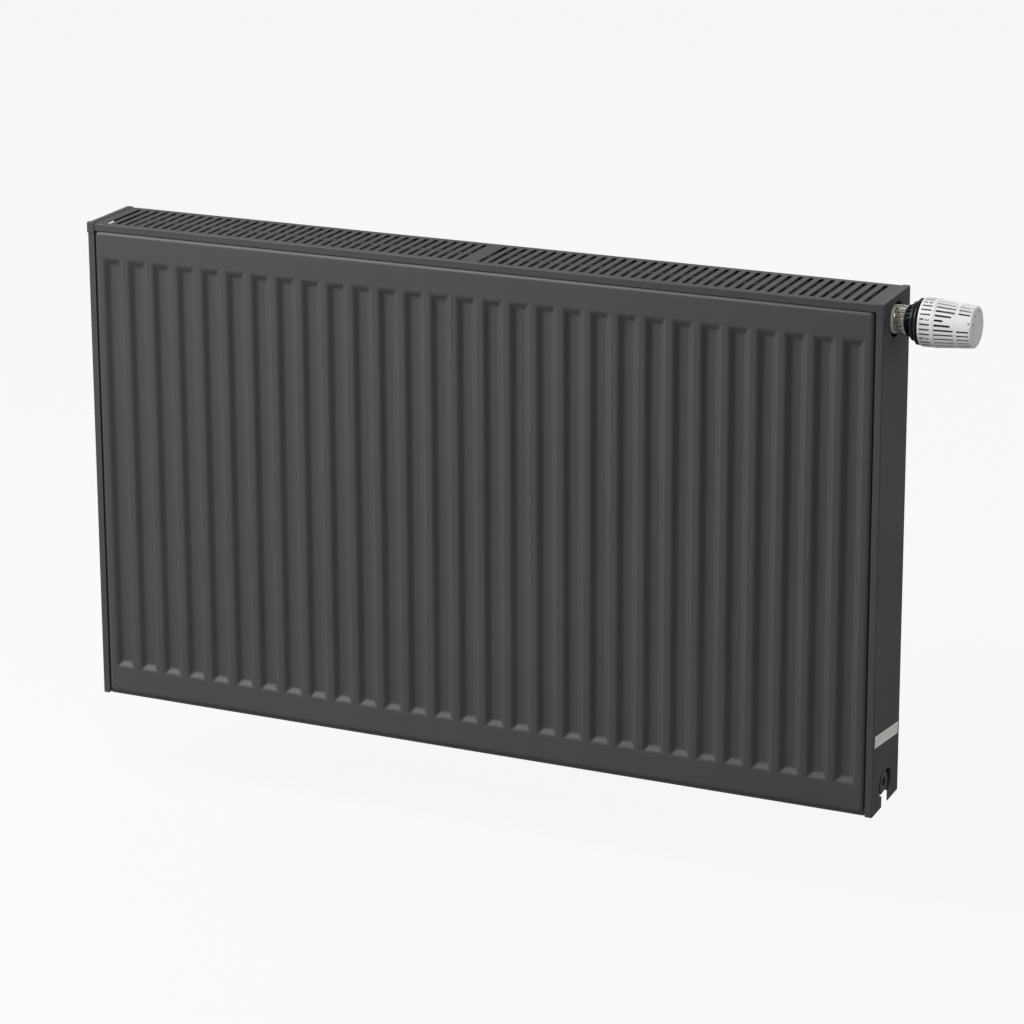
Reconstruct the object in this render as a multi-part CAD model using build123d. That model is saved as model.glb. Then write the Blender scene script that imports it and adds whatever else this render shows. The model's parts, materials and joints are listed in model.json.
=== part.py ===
"""Steel panel radiator, two panels deep, with a built-in valve and a thermostatic head.

Millimetres. +X runs along the length towards the valve, +Y points to the wall, +Z is up.
The origin is the centre of the plane on which the four wall lugs hang.
"""
import os
from math import hypot

from build123d import *

# Whole radiator
LENGTH = 1000.0
HEIGHT = 600.0
DEPTH = 100.0
BOTTOM = -HEIGHT / 2
SIDE = LENGTH / 2

# Pressed water panels
SHEET = 1.2
PRESS_DEPTH = 5.0
LUG_DEPTH = 6.0
PANEL_TOP = HEIGHT / 2 - 5.0
SEAM_HALF_LENGTH = SIDE - 6.0
PLATEAU_HALF_LENGTH = SIDE - 10.0
SEAM_FLANGE = 5.0
CHANNELS = 30
CHANNEL_PITCH = LENGTH / CHANNELS
GROOVE_WIDTH = 23.5
GROOVE_WALL_RUN = 5.5
GROOVE_LENGTH = 520.0
GROOVE_END_RUN = 7.5
PANEL_THICKNESS = 2 * (PRESS_DEPTH + SHEET)
FRONT_SEAM_Y = -DEPTH + PRESS_DEPTH + SHEET
REAR_SEAM_Y = -LUG_DEPTH - PRESS_DEPTH - SHEET
FRONT_PANEL_BACK_Y = -DEPTH + PANEL_THICKNESS
REAR_PANEL_FRONT_Y = -LUG_DEPTH - PANEL_THICKNESS
MID_Y = (FRONT_PANEL_BACK_Y + REAR_PANEL_FRONT_Y) / 2

# Convectors between the panels
CONVECTOR_SHEET = 0.8
CONVECTOR_DEPTH = 32.5
CONVECTOR_BOTTOM = BOTTOM + 50.0
CONVECTOR_TOP = PANEL_TOP - 45.0
CONVECTOR_FIRST = 1
CONVECTOR_LAST = 26

# Casing sheets
CASING = 1.0
CASING_FRONT_Y = -98.5
CASING_BACK_Y = -4.0
COVER_FLANGE = 8.5
COVER_TOP_FLANGE = 7.5
CORNER_TAB_HEIGHT = 12.5
CORNER_TAB_PROUD = 0.8
GRILLE_TOP_Z = HEIGHT / 2 - CASING
GRILLE_FLANGE_BOTTOM = HEIGHT / 2 - 9.5
GRILLE_GAP = 0.5
SLOTS_EACH_HALF = 38
SLOT_PITCH = 12.5
FIRST_SLOT = 13.25
SLOT_WIDTH = 5.5
SLOT_LENGTH = 79.0
SLOT_CENTRE_Y = CASING_FRONT_Y + 46.5

# Connections
PORT_HEIGHT = 27.0
TOP_PORT_Z = HEIGHT / 2 - PORT_HEIGHT
BOTTOM_PORT_Z = BOTTOM + PORT_HEIGHT
TEE_X = SIDE - 30.0
TEE_RADIUS = 15.0
TEE_BORE = 12.0
PANEL_PORT_BORE = 8.0
PORT_RADIUS = 15.5
PORT_BORE = 9.3
PORT_END = 3.5
PORT_THREAD_LENGTH = 13.5
PLUG_RADIUS = 9.25
SEAL_SEAT_RADIUS = 11.2
SEAL_SEAT_DEPTH = 1.8
SEAL_RING_RADIUS = 10.25
SEAL_RING_WIRE = 0.85
STUB_RADIUS = 14.0
STUB_END_Z = BOTTOM + 2.0
STUB_THREAD_LENGTH = 18.0
STUB_SPACING = 50.0
RISER_X = TEE_X - STUB_SPACING
RISER_RADIUS = 9.0
RISER_BORE = 7.5
RISER_BEND = 28.0
FLOW_SOCKET_TOP = BOTTOM + 32.0
SEAT_BOSS_RADIUS = 11.0
SEAT_BOSS_X = RISER_X + RISER_BEND
SEAT_BORE = 7.0
SEAT_RING_START = SEAT_BOSS_X + 1.0
SEAT_RING_BORE = 4.5
SEAT_RING_LIP = 5.6

# Valve insert: distances along +X from the outer face of the side cover
INSERT_NOSE = -34.0
INSERT_NOSE_RADIUS = 8.5
INSERT_CHAMBER_RADIUS = 6.8
SPRING_LEDGE = -20.0
CHAMBER_END = -4.0
INSERT_SHOULDER_RADIUS = 13.5
INSERT_NECK_RADIUS = 13.0
HEAD_THREAD_RADIUS = 14.0
HEAD_THREAD_START = 1.6
HEAD_THREAD_END = 6.0
SPINDLE_RADIUS = 2.0
SPINDLE_START = -38.0
SPINDLE_END = 5.0
SPINDLE_COLLAR = -9.0
DISC_RADIUS = 5.5
DISC_THICKNESS = 3.0
VALVE_CLOSING_TRAVEL = 1.44
SEAT_GAP = 0.1
COLLAR_START = -3.3
COLLAR_END = 1.5
COLLAR_RADIUS = 16.2
COLLAR_BORE = 13.6

# Thermostatic head: distances along +X from the outer face of the side cover
NUT_END = 13.2
NUT_RADIUS = 16.3
NUT_LIP_BORE = 11.2
NUT_LIP_START = 8.2
NUT_FLUTES = 18
FLUTE_START = 3.0
BASE_START = 6.1
BASE_FLANGE_RADIUS = 26.0
BASE_FLANGE_START = 26.8
BASE_FLANGE_END = 29.0
BASE_SLEEVE_RADIUS = 20.6
BASE_SLEEVE_BORE = 18.6
BASE_SLEEVE_END = 42.0
BASE_RIBS = 20
RIB_THICKNESS = 1.5
SCALE_START = 31.2
SCALE_END = 47.8
SCALE_RADIUS = 27.0
SCALE_BORE = 24.2
WHEEL_RADIUS = 27.3
WHEEL_TIP_RADIUS = 23.6
WHEEL_TAPER_END = 89.8
WHEEL_END = 94.4
WHEEL_WALL = 2.0
END_FACE_RADIUS = 11.0
END_HOLES = 12
WHEEL_SLOTS = 30
WHEEL_SLOT_WIDTH = 2.4
FIRST_ROW = (50.2, 72.0)
SECOND_ROW = (75.4, 89.2)
PATCH_ANGLE = 21.0
PATCH_ROW_ENDS = {-1: 68.5, 0: 60.0, 1: 68.5}
CARRIER_START = 26.5
CARRIER_END = 86.5
CARRIER_RADIUS = 18.3
CARRIER_BORE = 15.5
CARRIER_ROOF = 2.0
CAPSULE_END = 66.4

# Air vent and blind plugs: distances outward from the face of a side cover
VENT_BOSS_RADIUS = 7.0
VENT_BOSS_END = 6.0
VENT_SCREW_RADIUS = 2.9
SPOUT_RADIUS = 10.0
SPOUT_START = 0.2
SPOUT_END = 4.8


def box_between(x0, x1, y0, y1, z0, z1):
    """A box given by its lowest and highest corner."""
    centre = Pos((x0 + x1) / 2, (y0 + y1) / 2, (z0 + z1) / 2)
    return centre * Box(x1 - x0, y1 - y0, z1 - z0)


def on_side(z, side=1):
    """Frame on a side port's axis: local +Z points outward and local Z = 0 is the cover's face."""
    return Plane(origin=(side * SIDE, MID_Y, z), x_dir=(0, 1, 0), z_dir=(side, 0, 0))


def rod(frame, radius, start, end):
    """A cylinder on the frame's axis between two distances."""
    return frame * Pos(0, 0, (start + end) / 2) * Cylinder(radius, end - start)


def turned(frame, outline):
    """A solid turned about the frame's axis from (radius, distance) points."""
    face = make_face(Polyline(*[(r, 0, d) for r, d in outline], close=True))
    return frame * revolve(face, Axis.Z, 360)


def seal_ring(frame, ring_radius, wire_radius, distance):
    """An O-ring round the frame's axis."""
    return frame * Pos(0, 0, distance) * Torus(ring_radius, wire_radius)


def port_seal(z, side):
    """The O-ring in a side port's seat."""
    distance = -PORT_END - SEAL_RING_WIRE - 0.05
    return seal_ring(on_side(z, side), SEAL_RING_RADIUS, SEAL_RING_WIRE, distance)


def coil_spring(frame, mean_radius, wire_radius, start, end, turns):
    """A round-wire compression spring on the frame's axis."""
    height = end - start - 2 * wire_radius
    path = Helix(pitch=height / turns, height=height, radius=mean_radius)
    section = Plane(origin=path @ 0, z_dir=path % 0) * Circle(wire_radius)
    coil = sweep(section, path=path, is_frenet=True)
    return frame * Pos(0, 0, start + wire_radius) * coil


# ---------------------------------------------------------------- water panels


def groove_cutter(width, length, near_y, far_y):
    """The tapered space of one pressed groove, between two depths behind the panel's face."""
    sections = []
    for y in (near_y, far_y):
        frame = Plane(origin=(0, y, 0), x_dir=(1, 0, 0), z_dir=(0, 1, 0))
        across = width - 2 * GROOVE_WALL_RUN / PRESS_DEPTH * y
        along = length - 2 * GROOVE_END_RUN / PRESS_DEPTH * y
        sections.append(frame * Rectangle(across, along))
    return loft(sections)


def plateau(inset, near_y, far_y, edge_radius):
    """The raised field of a pressed sheet, with rounded corners and a rounded front edge."""
    bottom = BOTTOM + SEAM_FLANGE + inset
    top = PANEL_TOP - SEAM_FLANGE - inset
    half = PLATEAU_HALF_LENGTH - inset
    field = box_between(-half, half, near_y, far_y, bottom, top)
    field = fillet(field.edges().filter_by(Axis.Y), 8.0 - inset)
    front_edges = field.faces().sort_by(Axis.Y)[0].edges()
    return fillet(front_edges, edge_radius)


def pressed_sheet():
    """One pressed sheet: its face lies on y = 0 and its seam's back on PRESS_DEPTH + SHEET."""
    back = PRESS_DEPTH + SHEET
    wall_shift = SHEET * hypot(GROOVE_WALL_RUN, PRESS_DEPTH) / PRESS_DEPTH
    end_shift = SHEET * hypot(GROOVE_END_RUN, PRESS_DEPTH) / PRESS_DEPTH
    outside = groove_cutter(GROOVE_WIDTH, GROOVE_LENGTH, -1.0, PRESS_DEPTH)
    inside_width = GROOVE_WIDTH + 2 * wall_shift
    inside = groove_cutter(inside_width, GROOVE_LENGTH + 2 * end_shift, -1.0, back)
    middle_z = (BOTTOM + PANEL_TOP) / 2
    places = [
        Pos(CHANNEL_PITCH * k - SIDE, 0, middle_z) for k in range(1, CHANNELS)
    ]
    flange = box_between(-SEAM_HALF_LENGTH, SEAM_HALF_LENGTH, PRESS_DEPTH, back, BOTTOM, PANEL_TOP)
    shell = flange + plateau(0.0, 0.0, PRESS_DEPTH, PRESS_DEPTH - 0.1)
    shell = shell - [place * outside for place in places]
    hollow = plateau(SHEET, SHEET, back, PRESS_DEPTH - SHEET - 0.1)
    hollow = hollow - [place * inside for place in places]
    return shell - hollow


def panel_ports():
    """The round openings through which the four tees meet an inner sheet."""
    holes = []
    for x in (-TEE_X, TEE_X):
        for z in (BOTTOM_PORT_Z, TOP_PORT_Z):
            holes.append(Pos(x, 0, z) * Rot(90, 0, 0) * Cylinder(PANEL_PORT_BORE, 4 * PRESS_DEPTH))
    return holes


def water_panels():
    """The two panels, each an outer and an inner sheet welded round the seam."""
    sheet = pressed_sheet()
    turned_round = mirror(sheet, about=Plane.XZ)
    return {
        "front_panel_outer_sheet": Pos(0, -DEPTH, 0) * sheet,
        "front_panel_inner_sheet": Pos(0, FRONT_PANEL_BACK_Y, 0) * (turned_round - panel_ports()),
        "rear_panel_inner_sheet": Pos(0, REAR_PANEL_FRONT_Y, 0) * (sheet - panel_ports()),
        "rear_panel_outer_sheet": Pos(0, -LUG_DEPTH, 0) * turned_round,
    }


def corrugation():
    """One convector's folded outline in plan: flats on the panel's channels, webs and far flats."""
    inner = CONVECTOR_SHEET / 2
    outer = CONVECTOR_DEPTH - CONVECTOR_SHEET / 2
    points = []
    for k in range(CONVECTOR_FIRST, CONVECTOR_LAST + 1):
        x = CHANNEL_PITCH * (k + 0.5) - SIDE
        points += [(x - 8.5, outer), (x - 4.2, inner), (x + 4.2, inner), (x + 8.5, outer)]
    return points


def mitred(points, offset):
    """The points moved sideways by an offset, with mitred corners."""
    moved = []
    for i, (x, y) in enumerate(points):
        before = points[max(i - 1, 0)]
        after = points[min(i + 1, len(points) - 1)]
        normals = []
        for (x0, y0), (x1, y1) in ((before, (x, y)), ((x, y), after)):
            run = hypot(x1 - x0, y1 - y0)
            if run > 0:
                normals.append((-(y1 - y0) / run, (x1 - x0) / run))
        nx = sum(n[0] for n in normals) / len(normals)
        ny = sum(n[1] for n in normals) / len(normals)
        square = nx * nx + ny * ny
        moved.append((x + offset * nx / square, y + offset * ny / square))
    return moved


def convectors():
    """The folded fin sheets, one welded to each panel."""
    line = corrugation()
    half = CONVECTOR_SHEET / 2
    outline = mitred(line, half) + mitred(line, -half)[::-1]
    face = make_face(Polyline(*outline, close=True))
    fins = Pos(0, 0, CONVECTOR_BOTTOM) * extrude(face, CONVECTOR_TOP - CONVECTOR_BOTTOM)
    return {
        "front_convector": Pos(0, FRONT_PANEL_BACK_Y, 0) * fins,
        "rear_convector": Pos(0, REAR_PANEL_FRONT_Y, 0) * mirror(fins, about=Plane.XZ),
    }


# ---------------------------------------------------------------- pipework


def tee(side, z):
    """A welded tee between the panels with an internally threaded side port."""
    across = Pos(side * TEE_X, MID_Y, z) * Rot(90, 0, 0)
    span = REAR_PANEL_FRONT_Y - FRONT_PANEL_BACK_Y
    port = on_side(z, side)
    reach = TEE_X - SIDE
    body = across * Cylinder(TEE_RADIUS, span) + rod(port, PORT_RADIUS, reach, -PORT_END)
    body -= across * Cylinder(TEE_BORE, span)
    body -= rod(port, PORT_BORE, reach, -PORT_END)
    return body - rod(port, SEAL_SEAT_RADIUS, -PORT_END - SEAL_SEAT_DEPTH, -PORT_END)


def top_right_tee():
    """The valve tee: the riser's boss enters it opposite the side port."""
    along = Plane(origin=(0, MID_Y, TOP_PORT_Z), x_dir=(0, 1, 0), z_dir=(1, 0, 0))
    wall = TEE_X - TEE_RADIUS + 6.0
    bore = Pos(TEE_X, MID_Y, TOP_PORT_Z) * Rot(90, 0, 0) * Cylinder(TEE_BORE, DEPTH)
    boss = rod(along, SEAT_BOSS_RADIUS, SEAT_BOSS_X, wall) - bore
    return tee(1, TOP_PORT_Z) + boss - rod(along, SEAT_BORE, SEAT_BOSS_X, wall)


def bottom_right_tee():
    """The return tee, with the threaded return connection pointing down."""
    down = Plane(origin=(TEE_X, MID_Y, 0), x_dir=(1, 0, 0), z_dir=(0, 0, 1))
    bore = Pos(TEE_X, MID_Y, BOTTOM_PORT_Z) * Rot(90, 0, 0) * Cylinder(TEE_BORE, DEPTH)
    stub = rod(down, STUB_RADIUS, STUB_END_Z, BOTTOM_PORT_Z) - bore
    return tee(1, BOTTOM_PORT_Z) + stub - rod(down, PORT_BORE, STUB_END_Z, BOTTOM_PORT_Z)


def flow_socket():
    """The threaded flow connection at the foot of the riser."""
    up = Plane(origin=(RISER_X, MID_Y, 0), x_dir=(1, 0, 0), z_dir=(0, 0, 1))
    thread_top = STUB_END_Z + STUB_THREAD_LENGTH
    socket = rod(up, STUB_RADIUS, STUB_END_Z, FLOW_SOCKET_TOP)
    socket -= rod(up, PORT_BORE, STUB_END_Z, thread_top)
    return socket - rod(up, RISER_BORE, thread_top, FLOW_SOCKET_TOP)


def riser_pipe():
    """The pipe inside the radiator that carries the flow up to the valve."""
    bend_z = TOP_PORT_Z - RISER_BEND
    foot = Vector(RISER_X, MID_Y, FLOW_SOCKET_TOP)
    knee = Vector(RISER_X, MID_Y, bend_z)
    upright = Line(foot, knee)
    bend = TangentArc(knee, Vector(SEAT_BOSS_X, MID_Y, TOP_PORT_Z), tangent=(0, 0, 1))
    ring = Plane(origin=foot, z_dir=(0, 0, 1)) * (Circle(RISER_RADIUS) - Circle(RISER_BORE))
    return sweep(ring, path=Wire([upright, bend]))


def flow_socket_bracket():
    """A strap welded between the panels that holds the flow socket."""
    z = FLOW_SOCKET_TOP - 12.0
    strap = box_between(
        RISER_X - 22, RISER_X + 22, FRONT_PANEL_BACK_Y, REAR_PANEL_FRONT_Y, z, z + 2.5
    )
    return strap - Pos(RISER_X, MID_Y, z) * Cylinder(STUB_RADIUS, 10)


def wall_lug(x, z):
    """A folded lug on the rear panel; a wall hook enters it from below."""
    half = CHANNEL_PITCH / 2
    plate = 2.0
    height = 46.0
    back = box_between(x - half - 1, x + half + 1, -plate, 0, z - height / 2, z + height / 2)
    lug = back
    for leg_x in (x - half, x + half):
        lug += box_between(leg_x - 1, leg_x + 1, -LUG_DEPTH, 0, z - height / 2, z + height / 2)
    slot = box_between(x - 5, x + 5, -plate, 0, z - height / 2, z)
    return lug - slot - Pos(x, -1, z) * Rot(90, 0, 0) * Cylinder(5, plate)


# ---------------------------------------------------------------- casing


def top_grille():
    """The folded top sheet with one row of crosswise slots in each half."""
    half = SIDE - CASING - GRILLE_GAP
    flange_half = SIDE - COVER_FLANGE - GRILLE_GAP
    under = GRILLE_TOP_Z - CASING
    grille = box_between(-half, half, CASING_FRONT_Y, CASING_BACK_Y, under, GRILLE_TOP_Z)
    for y in (CASING_FRONT_Y, CASING_BACK_Y - CASING):
        grille += box_between(
            -flange_half, flange_half, y, y + CASING, GRILLE_FLANGE_BOTTOM, GRILLE_TOP_Z
        )
    for end in (-1, 1):
        inner, outer = sorted((end * flange_half, end * half))
        for y in (CASING_FRONT_Y, CASING_BACK_Y - CASING - 0.1):
            grille -= box_between(inner, outer, y, y + CASING + 0.1, under, GRILLE_TOP_Z)
    slot = extrude(Rot(0, 0, 90) * SlotOverall(SLOT_LENGTH, SLOT_WIDTH), 4 * CASING)
    for end in (-1, 1):
        for i in range(SLOTS_EACH_HALF):
            x = end * (FIRST_SLOT + SLOT_PITCH * i)
            grille -= Pos(x, SLOT_CENTRE_Y, GRILLE_TOP_Z - 2 * CASING) * slot
    return grille


def side_cover(side):
    """A folded end sheet with the openings for the side ports."""
    top = HEIGHT / 2
    inner = SIDE - CASING
    flange = SIDE - COVER_FLANGE
    cover = box_between(inner, SIDE, CASING_FRONT_Y, CASING_BACK_Y, BOTTOM, top)
    for y in (CASING_FRONT_Y, CASING_BACK_Y - CASING):
        cover += box_between(flange, SIDE, y, y + CASING, BOTTOM, top)
    top_flange = SIDE - COVER_TOP_FLANGE
    cover += box_between(top_flange, SIDE, CASING_FRONT_Y, CASING_BACK_Y, top - 0.9, top)
    front_edges = cover.edges().filter_by(Axis.Z).filter_by(
        lambda e: e.center().X > SIDE - 0.1 and e.length > HEIGHT / 2
    )
    cover = fillet(front_edges, 0.9)
    tab_front = CASING_FRONT_Y - CORNER_TAB_PROUD
    tab_bottom = top - CORNER_TAB_HEIGHT
    tab = box_between(
        flange, SIDE + CORNER_TAB_PROUD, tab_front, CASING_FRONT_Y + 6.0, tab_bottom, top
    )
    tab -= box_between(
        flange - 1, SIDE - 0.5, CASING_FRONT_Y + 0.5, CASING_FRONT_Y + 7.0, tab_bottom - 1, top - 0.5
    )
    cover += tab
    through = Plane(origin=(SIDE - 5, MID_Y, 0), x_dir=(0, 1, 0), z_dir=(1, 0, 0))
    valve_opening = through * Pos(0, TOP_PORT_Z, 0) * extrude(SlotOverall(46, 39), 10)
    plug_opening = through * Pos(0, BOTTOM_PORT_Z, 0) * extrude(SlotOverall(44, 28), 10)
    notch = box_between(SIDE - 5, SIDE + 5, MID_Y - 11, MID_Y + 11, BOTTOM - 1, BOTTOM_PORT_Z)
    cover = cover - valve_opening - plug_opening - notch
    return cover if side > 0 else mirror(cover, about=Plane.YZ)


def rating_label():
    """The blank rating label on the right cover, stuck on slightly askew."""
    frame = Plane(origin=(SIDE, MID_Y + 1.5, BOTTOM + 83.5), x_dir=(0, 1, 0), z_dir=(1, 0, 0))
    return frame * Rot(0, 0, -7.5) * extrude(RectangleRounded(84, 13.5, 1.0), 0.15)


# ---------------------------------------------------------------- valve


def valve_seat_ring():
    """The brass seat pressed into the valve tee's boss."""
    seat_x = SIDE + SPINDLE_START - DISC_THICKNESS - VALVE_CLOSING_TRAVEL - SEAT_GAP
    along = Plane(origin=(0, MID_Y, TOP_PORT_Z), x_dir=(0, 1, 0), z_dir=(1, 0, 0))
    outside = SEAT_BORE - 0.02
    outline = [
        (SEAT_RING_BORE, SEAT_RING_START),
        (outside, SEAT_RING_START),
        (outside, seat_x - 1.0),
        (SEAT_RING_LIP, seat_x),
        (SEAT_RING_BORE, seat_x),
    ]
    return turned(along, outline)


def valve_insert_body():
    """The cartridge body: nose with water windows, pipe thread, neck and head thread."""
    frame = on_side(TOP_PORT_Z)
    outline = [
        (INSERT_CHAMBER_RADIUS, INSERT_NOSE),
        (INSERT_NOSE_RADIUS, INSERT_NOSE),
        (INSERT_NOSE_RADIUS, -17.0),
        (PLUG_RADIUS, -17.0),
        (PLUG_RADIUS, -3.4),
        (INSERT_SHOULDER_RADIUS, -3.4),
        (INSERT_SHOULDER_RADIUS, -1.5),
        (INSERT_NECK_RADIUS, -1.5),
        (INSERT_NECK_RADIUS, HEAD_THREAD_START),
        (HEAD_THREAD_RADIUS, HEAD_THREAD_START),
        (HEAD_THREAD_RADIUS, HEAD_THREAD_END),
        (6.0, HEAD_THREAD_END),
        (6.0, -2.0),
        (3.2, -2.0),
        (3.2, CHAMBER_END),
        (INSERT_CHAMBER_RADIUS, CHAMBER_END),
        (INSERT_CHAMBER_RADIUS, SPRING_LEDGE),
        (2.3, SPRING_LEDGE),
        (2.3, SPRING_LEDGE - 2.0),
        (INSERT_CHAMBER_RADIUS, SPRING_LEDGE - 2.0),
    ]
    body = turned(frame, outline)
    for k in range(4):
        body -= frame * Rot(0, 0, 45 + 90 * k) * Pos(7.5, 0, -28) * Rot(0, 90, 0) * Cylinder(3.5, 5)
    return body


def gland_screw():
    """The gland that guides and seals the spindle in the insert."""
    outline = [
        (2.1, -1.6),
        (5.95, -1.6),
        (5.95, 5.6),
        (4.0, 5.6),
        (4.0, 3.0),
        (3.1, 3.0),
        (3.1, 0.6),
        (2.1, 0.6),
    ]
    return turned(on_side(TOP_PORT_Z), outline)


def valve_collar():
    """The pale plastic collar between the tee and the union nut."""
    outline = [
        (COLLAR_BORE, COLLAR_START),
        (COLLAR_RADIUS - 0.6, COLLAR_START),
        (COLLAR_RADIUS, COLLAR_START + 0.9),
        (COLLAR_RADIUS, COLLAR_END - 0.9),
        (COLLAR_RADIUS - 0.6, COLLAR_END),
        (COLLAR_BORE, COLLAR_END),
    ]
    return turned(on_side(TOP_PORT_Z), outline)


def valve_spindle():
    """The stainless spindle with its spring collar."""
    frame = on_side(TOP_PORT_Z)
    return rod(frame, SPINDLE_RADIUS, SPINDLE_START, SPINDLE_END) + rod(
        frame, 5.0, SPINDLE_COLLAR, SPINDLE_COLLAR + 1.5
    )


def valve_disc():
    """The rubber disc that closes on the seat."""
    face = SPINDLE_START - DISC_THICKNESS
    return rod(on_side(TOP_PORT_Z), DISC_RADIUS, face, SPINDLE_START)


# ---------------------------------------------------------------- thermostatic head


def union_nut():
    """The fluted union nut that clamps the head on the insert."""
    frame = on_side(TOP_PORT_Z)
    thread = HEAD_THREAD_RADIUS + 0.05
    outline = [
        (thread, HEAD_THREAD_START),
        (NUT_RADIUS - 0.6, HEAD_THREAD_START),
        (NUT_RADIUS, HEAD_THREAD_START + 1.0),
        (NUT_RADIUS, NUT_END - 1.0),
        (NUT_RADIUS - 0.8, NUT_END),
        (NUT_LIP_BORE, NUT_END),
        (NUT_LIP_BORE, NUT_LIP_START),
        (thread, NUT_LIP_START),
    ]
    nut = turned(frame, outline)
    for k in range(NUT_FLUTES):
        flute = Rot(0, 0, 360 / NUT_FLUTES * k) * Pos(NUT_RADIUS + 0.9, 0, (FLUTE_START + NUT_END) / 2)
        nut -= frame * flute * Cylinder(1.7, NUT_END - FLUTE_START)
    return nut


def head_base():
    """The black base: captive flange, ribbed cone, two discs and the guide sleeve."""
    frame = on_side(TOP_PORT_Z)
    outline = [
        (4.0, BASE_START),
        (13.8, BASE_START),
        (13.8, 8.1),
        (11.1, 8.1),
        (11.1, 13.5),
        (14.2, 13.5),
        (15.4, 20.6),
        (22.0, 21.0),
        (22.0, 23.8),
        (20.2, 24.2),
        (20.2, BASE_FLANGE_START - 0.4),
        (BASE_FLANGE_RADIUS, BASE_FLANGE_START),
        (BASE_FLANGE_RADIUS, BASE_FLANGE_END),
        (BASE_SLEEVE_RADIUS, BASE_FLANGE_END),
        (BASE_SLEEVE_RADIUS, BASE_SLEEVE_END),
        (BASE_SLEEVE_BORE, BASE_SLEEVE_END),
        (BASE_SLEEVE_BORE, 24.2),
        (12.0, 24.2),
        (12.0, 16.0),
        (4.0, 16.0),
    ]
    base = turned(frame, outline)
    rib_outline = Polyline((13.6, 13.5), (17.0, 14.0), (19.8, 21.0), (13.6, 21.0), close=True)
    rib = extrude(Plane.XZ * make_face(rib_outline), RIB_THICKNESS / 2, both=True)
    for k in range(BASE_RIBS):
        base += frame * Rot(0, 0, 360 / BASE_RIBS * k) * rib
    return base


def scale_ring():
    """The white ring that carries the numbers, open towards the base."""
    outline = [
        (SCALE_BORE, SCALE_START),
        (SCALE_RADIUS - 0.9, SCALE_START),
        (SCALE_RADIUS, SCALE_START + 1.2),
        (SCALE_RADIUS, SCALE_END),
        (SCALE_BORE, SCALE_END),
    ]
    return turned(on_side(TOP_PORT_Z), outline)


def wheel_outline():
    """The handwheel's half section: spigot, shoulder, tapered wall and rounded end."""
    spigot = 22.0
    spigot_start = SCALE_START + 1.1
    shoulder = SCALE_END + 0.1
    wall_foot = SCALE_END + 2.0
    end_inside = WHEEL_END - WHEEL_WALL
    points = [
        (spigot, spigot_start),
        (SCALE_BORE - 0.05, spigot_start),
        (SCALE_BORE - 0.05, shoulder),
        (WHEEL_RADIUS, shoulder),
        (WHEEL_RADIUS, shoulder + 1.2),
        (WHEEL_RADIUS - 0.3, shoulder + 1.5),
        (WHEEL_TIP_RADIUS, WHEEL_TAPER_END),
    ]
    inside = [
        (WHEEL_TIP_RADIUS - WHEEL_WALL, WHEEL_TAPER_END - 0.5),
        (WHEEL_RADIUS - WHEEL_WALL - 0.3, wall_foot),
        (spigot, wall_foot),
        points[0],
    ]
    corners = [(r, 0, d) for r, d in points]
    returns = [(r, 0, d) for r, d in inside]
    edges = [Line(*pair) for pair in zip(corners, corners[1:])]
    edges.append(ThreePointArc(corners[-1], (19.9, 0, 93.05), (END_FACE_RADIUS, 0, WHEEL_END)))
    edges.append(Line((END_FACE_RADIUS, 0, WHEEL_END), (0, 0, WHEEL_END)))
    edges.append(Line((0, 0, WHEEL_END), (0, 0, end_inside)))
    edges.append(Line((0, 0, end_inside), (END_FACE_RADIUS - 1, 0, end_inside)))
    edges.append(ThreePointArc((END_FACE_RADIUS - 1, 0, end_inside), (19.0, 0, 91.1), returns[0]))
    edges += [Line(*pair) for pair in zip(returns, returns[1:])]
    return make_face(edges)


def handwheel():
    """The white handwheel with two rows of air slots and a smooth spade-shaped patch."""
    frame = on_side(TOP_PORT_Z)
    wheel = frame * revolve(wheel_outline(), Axis.Z, 360)
    slot_floor = 20.0
    reach = WHEEL_RADIUS - slot_floor
    cuts = []
    for k in range(WHEEL_SLOTS):
        from_patch = k if k <= WHEEL_SLOTS // 2 else k - WHEEL_SLOTS
        angle = 180 - PATCH_ANGLE - 360 / WHEEL_SLOTS * from_patch
        rows = [(FIRST_ROW[0], PATCH_ROW_ENDS.get(from_patch, FIRST_ROW[1]))]
        if from_patch not in PATCH_ROW_ENDS:
            rows.append(SECOND_ROW)
        for start, end in rows:
            slot = Box(reach, WHEEL_SLOT_WIDTH, end - start)
            slot = fillet(slot.edges().filter_by(Axis.X), WHEEL_SLOT_WIDTH / 2 - 0.05)
            place = Pos(slot_floor + reach / 2, 0, (start + end) / 2)
            cuts.append(frame * Rot(0, 0, angle) * place * slot)
    end_hole = Pos(19.4, 0, 92.2) * Rot(0, 25, 0) * Cylinder(1.1, 6)
    for k in range(END_HOLES):
        angle = 180 - PATCH_ANGLE - 360 / END_HOLES * k
        cuts.append(frame * Rot(0, 0, angle) * end_hole)
    return wheel - cuts


def sensor_carrier():
    """The sleeve that the handwheel turns on; it slides in the base and holds the sensor."""
    floor = CARRIER_START + 3.3
    roof = CARRIER_END - CARRIER_ROOF
    outline = [
        (12.0, CARRIER_START),
        (CARRIER_RADIUS, CARRIER_START),
        (CARRIER_RADIUS, CARRIER_END),
        (6.0, CARRIER_END),
        (6.0, roof),
        (CARRIER_BORE, roof),
        (CARRIER_BORE, floor),
        (12.0, floor),
    ]
    return turned(on_side(TOP_PORT_Z), outline)


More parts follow.
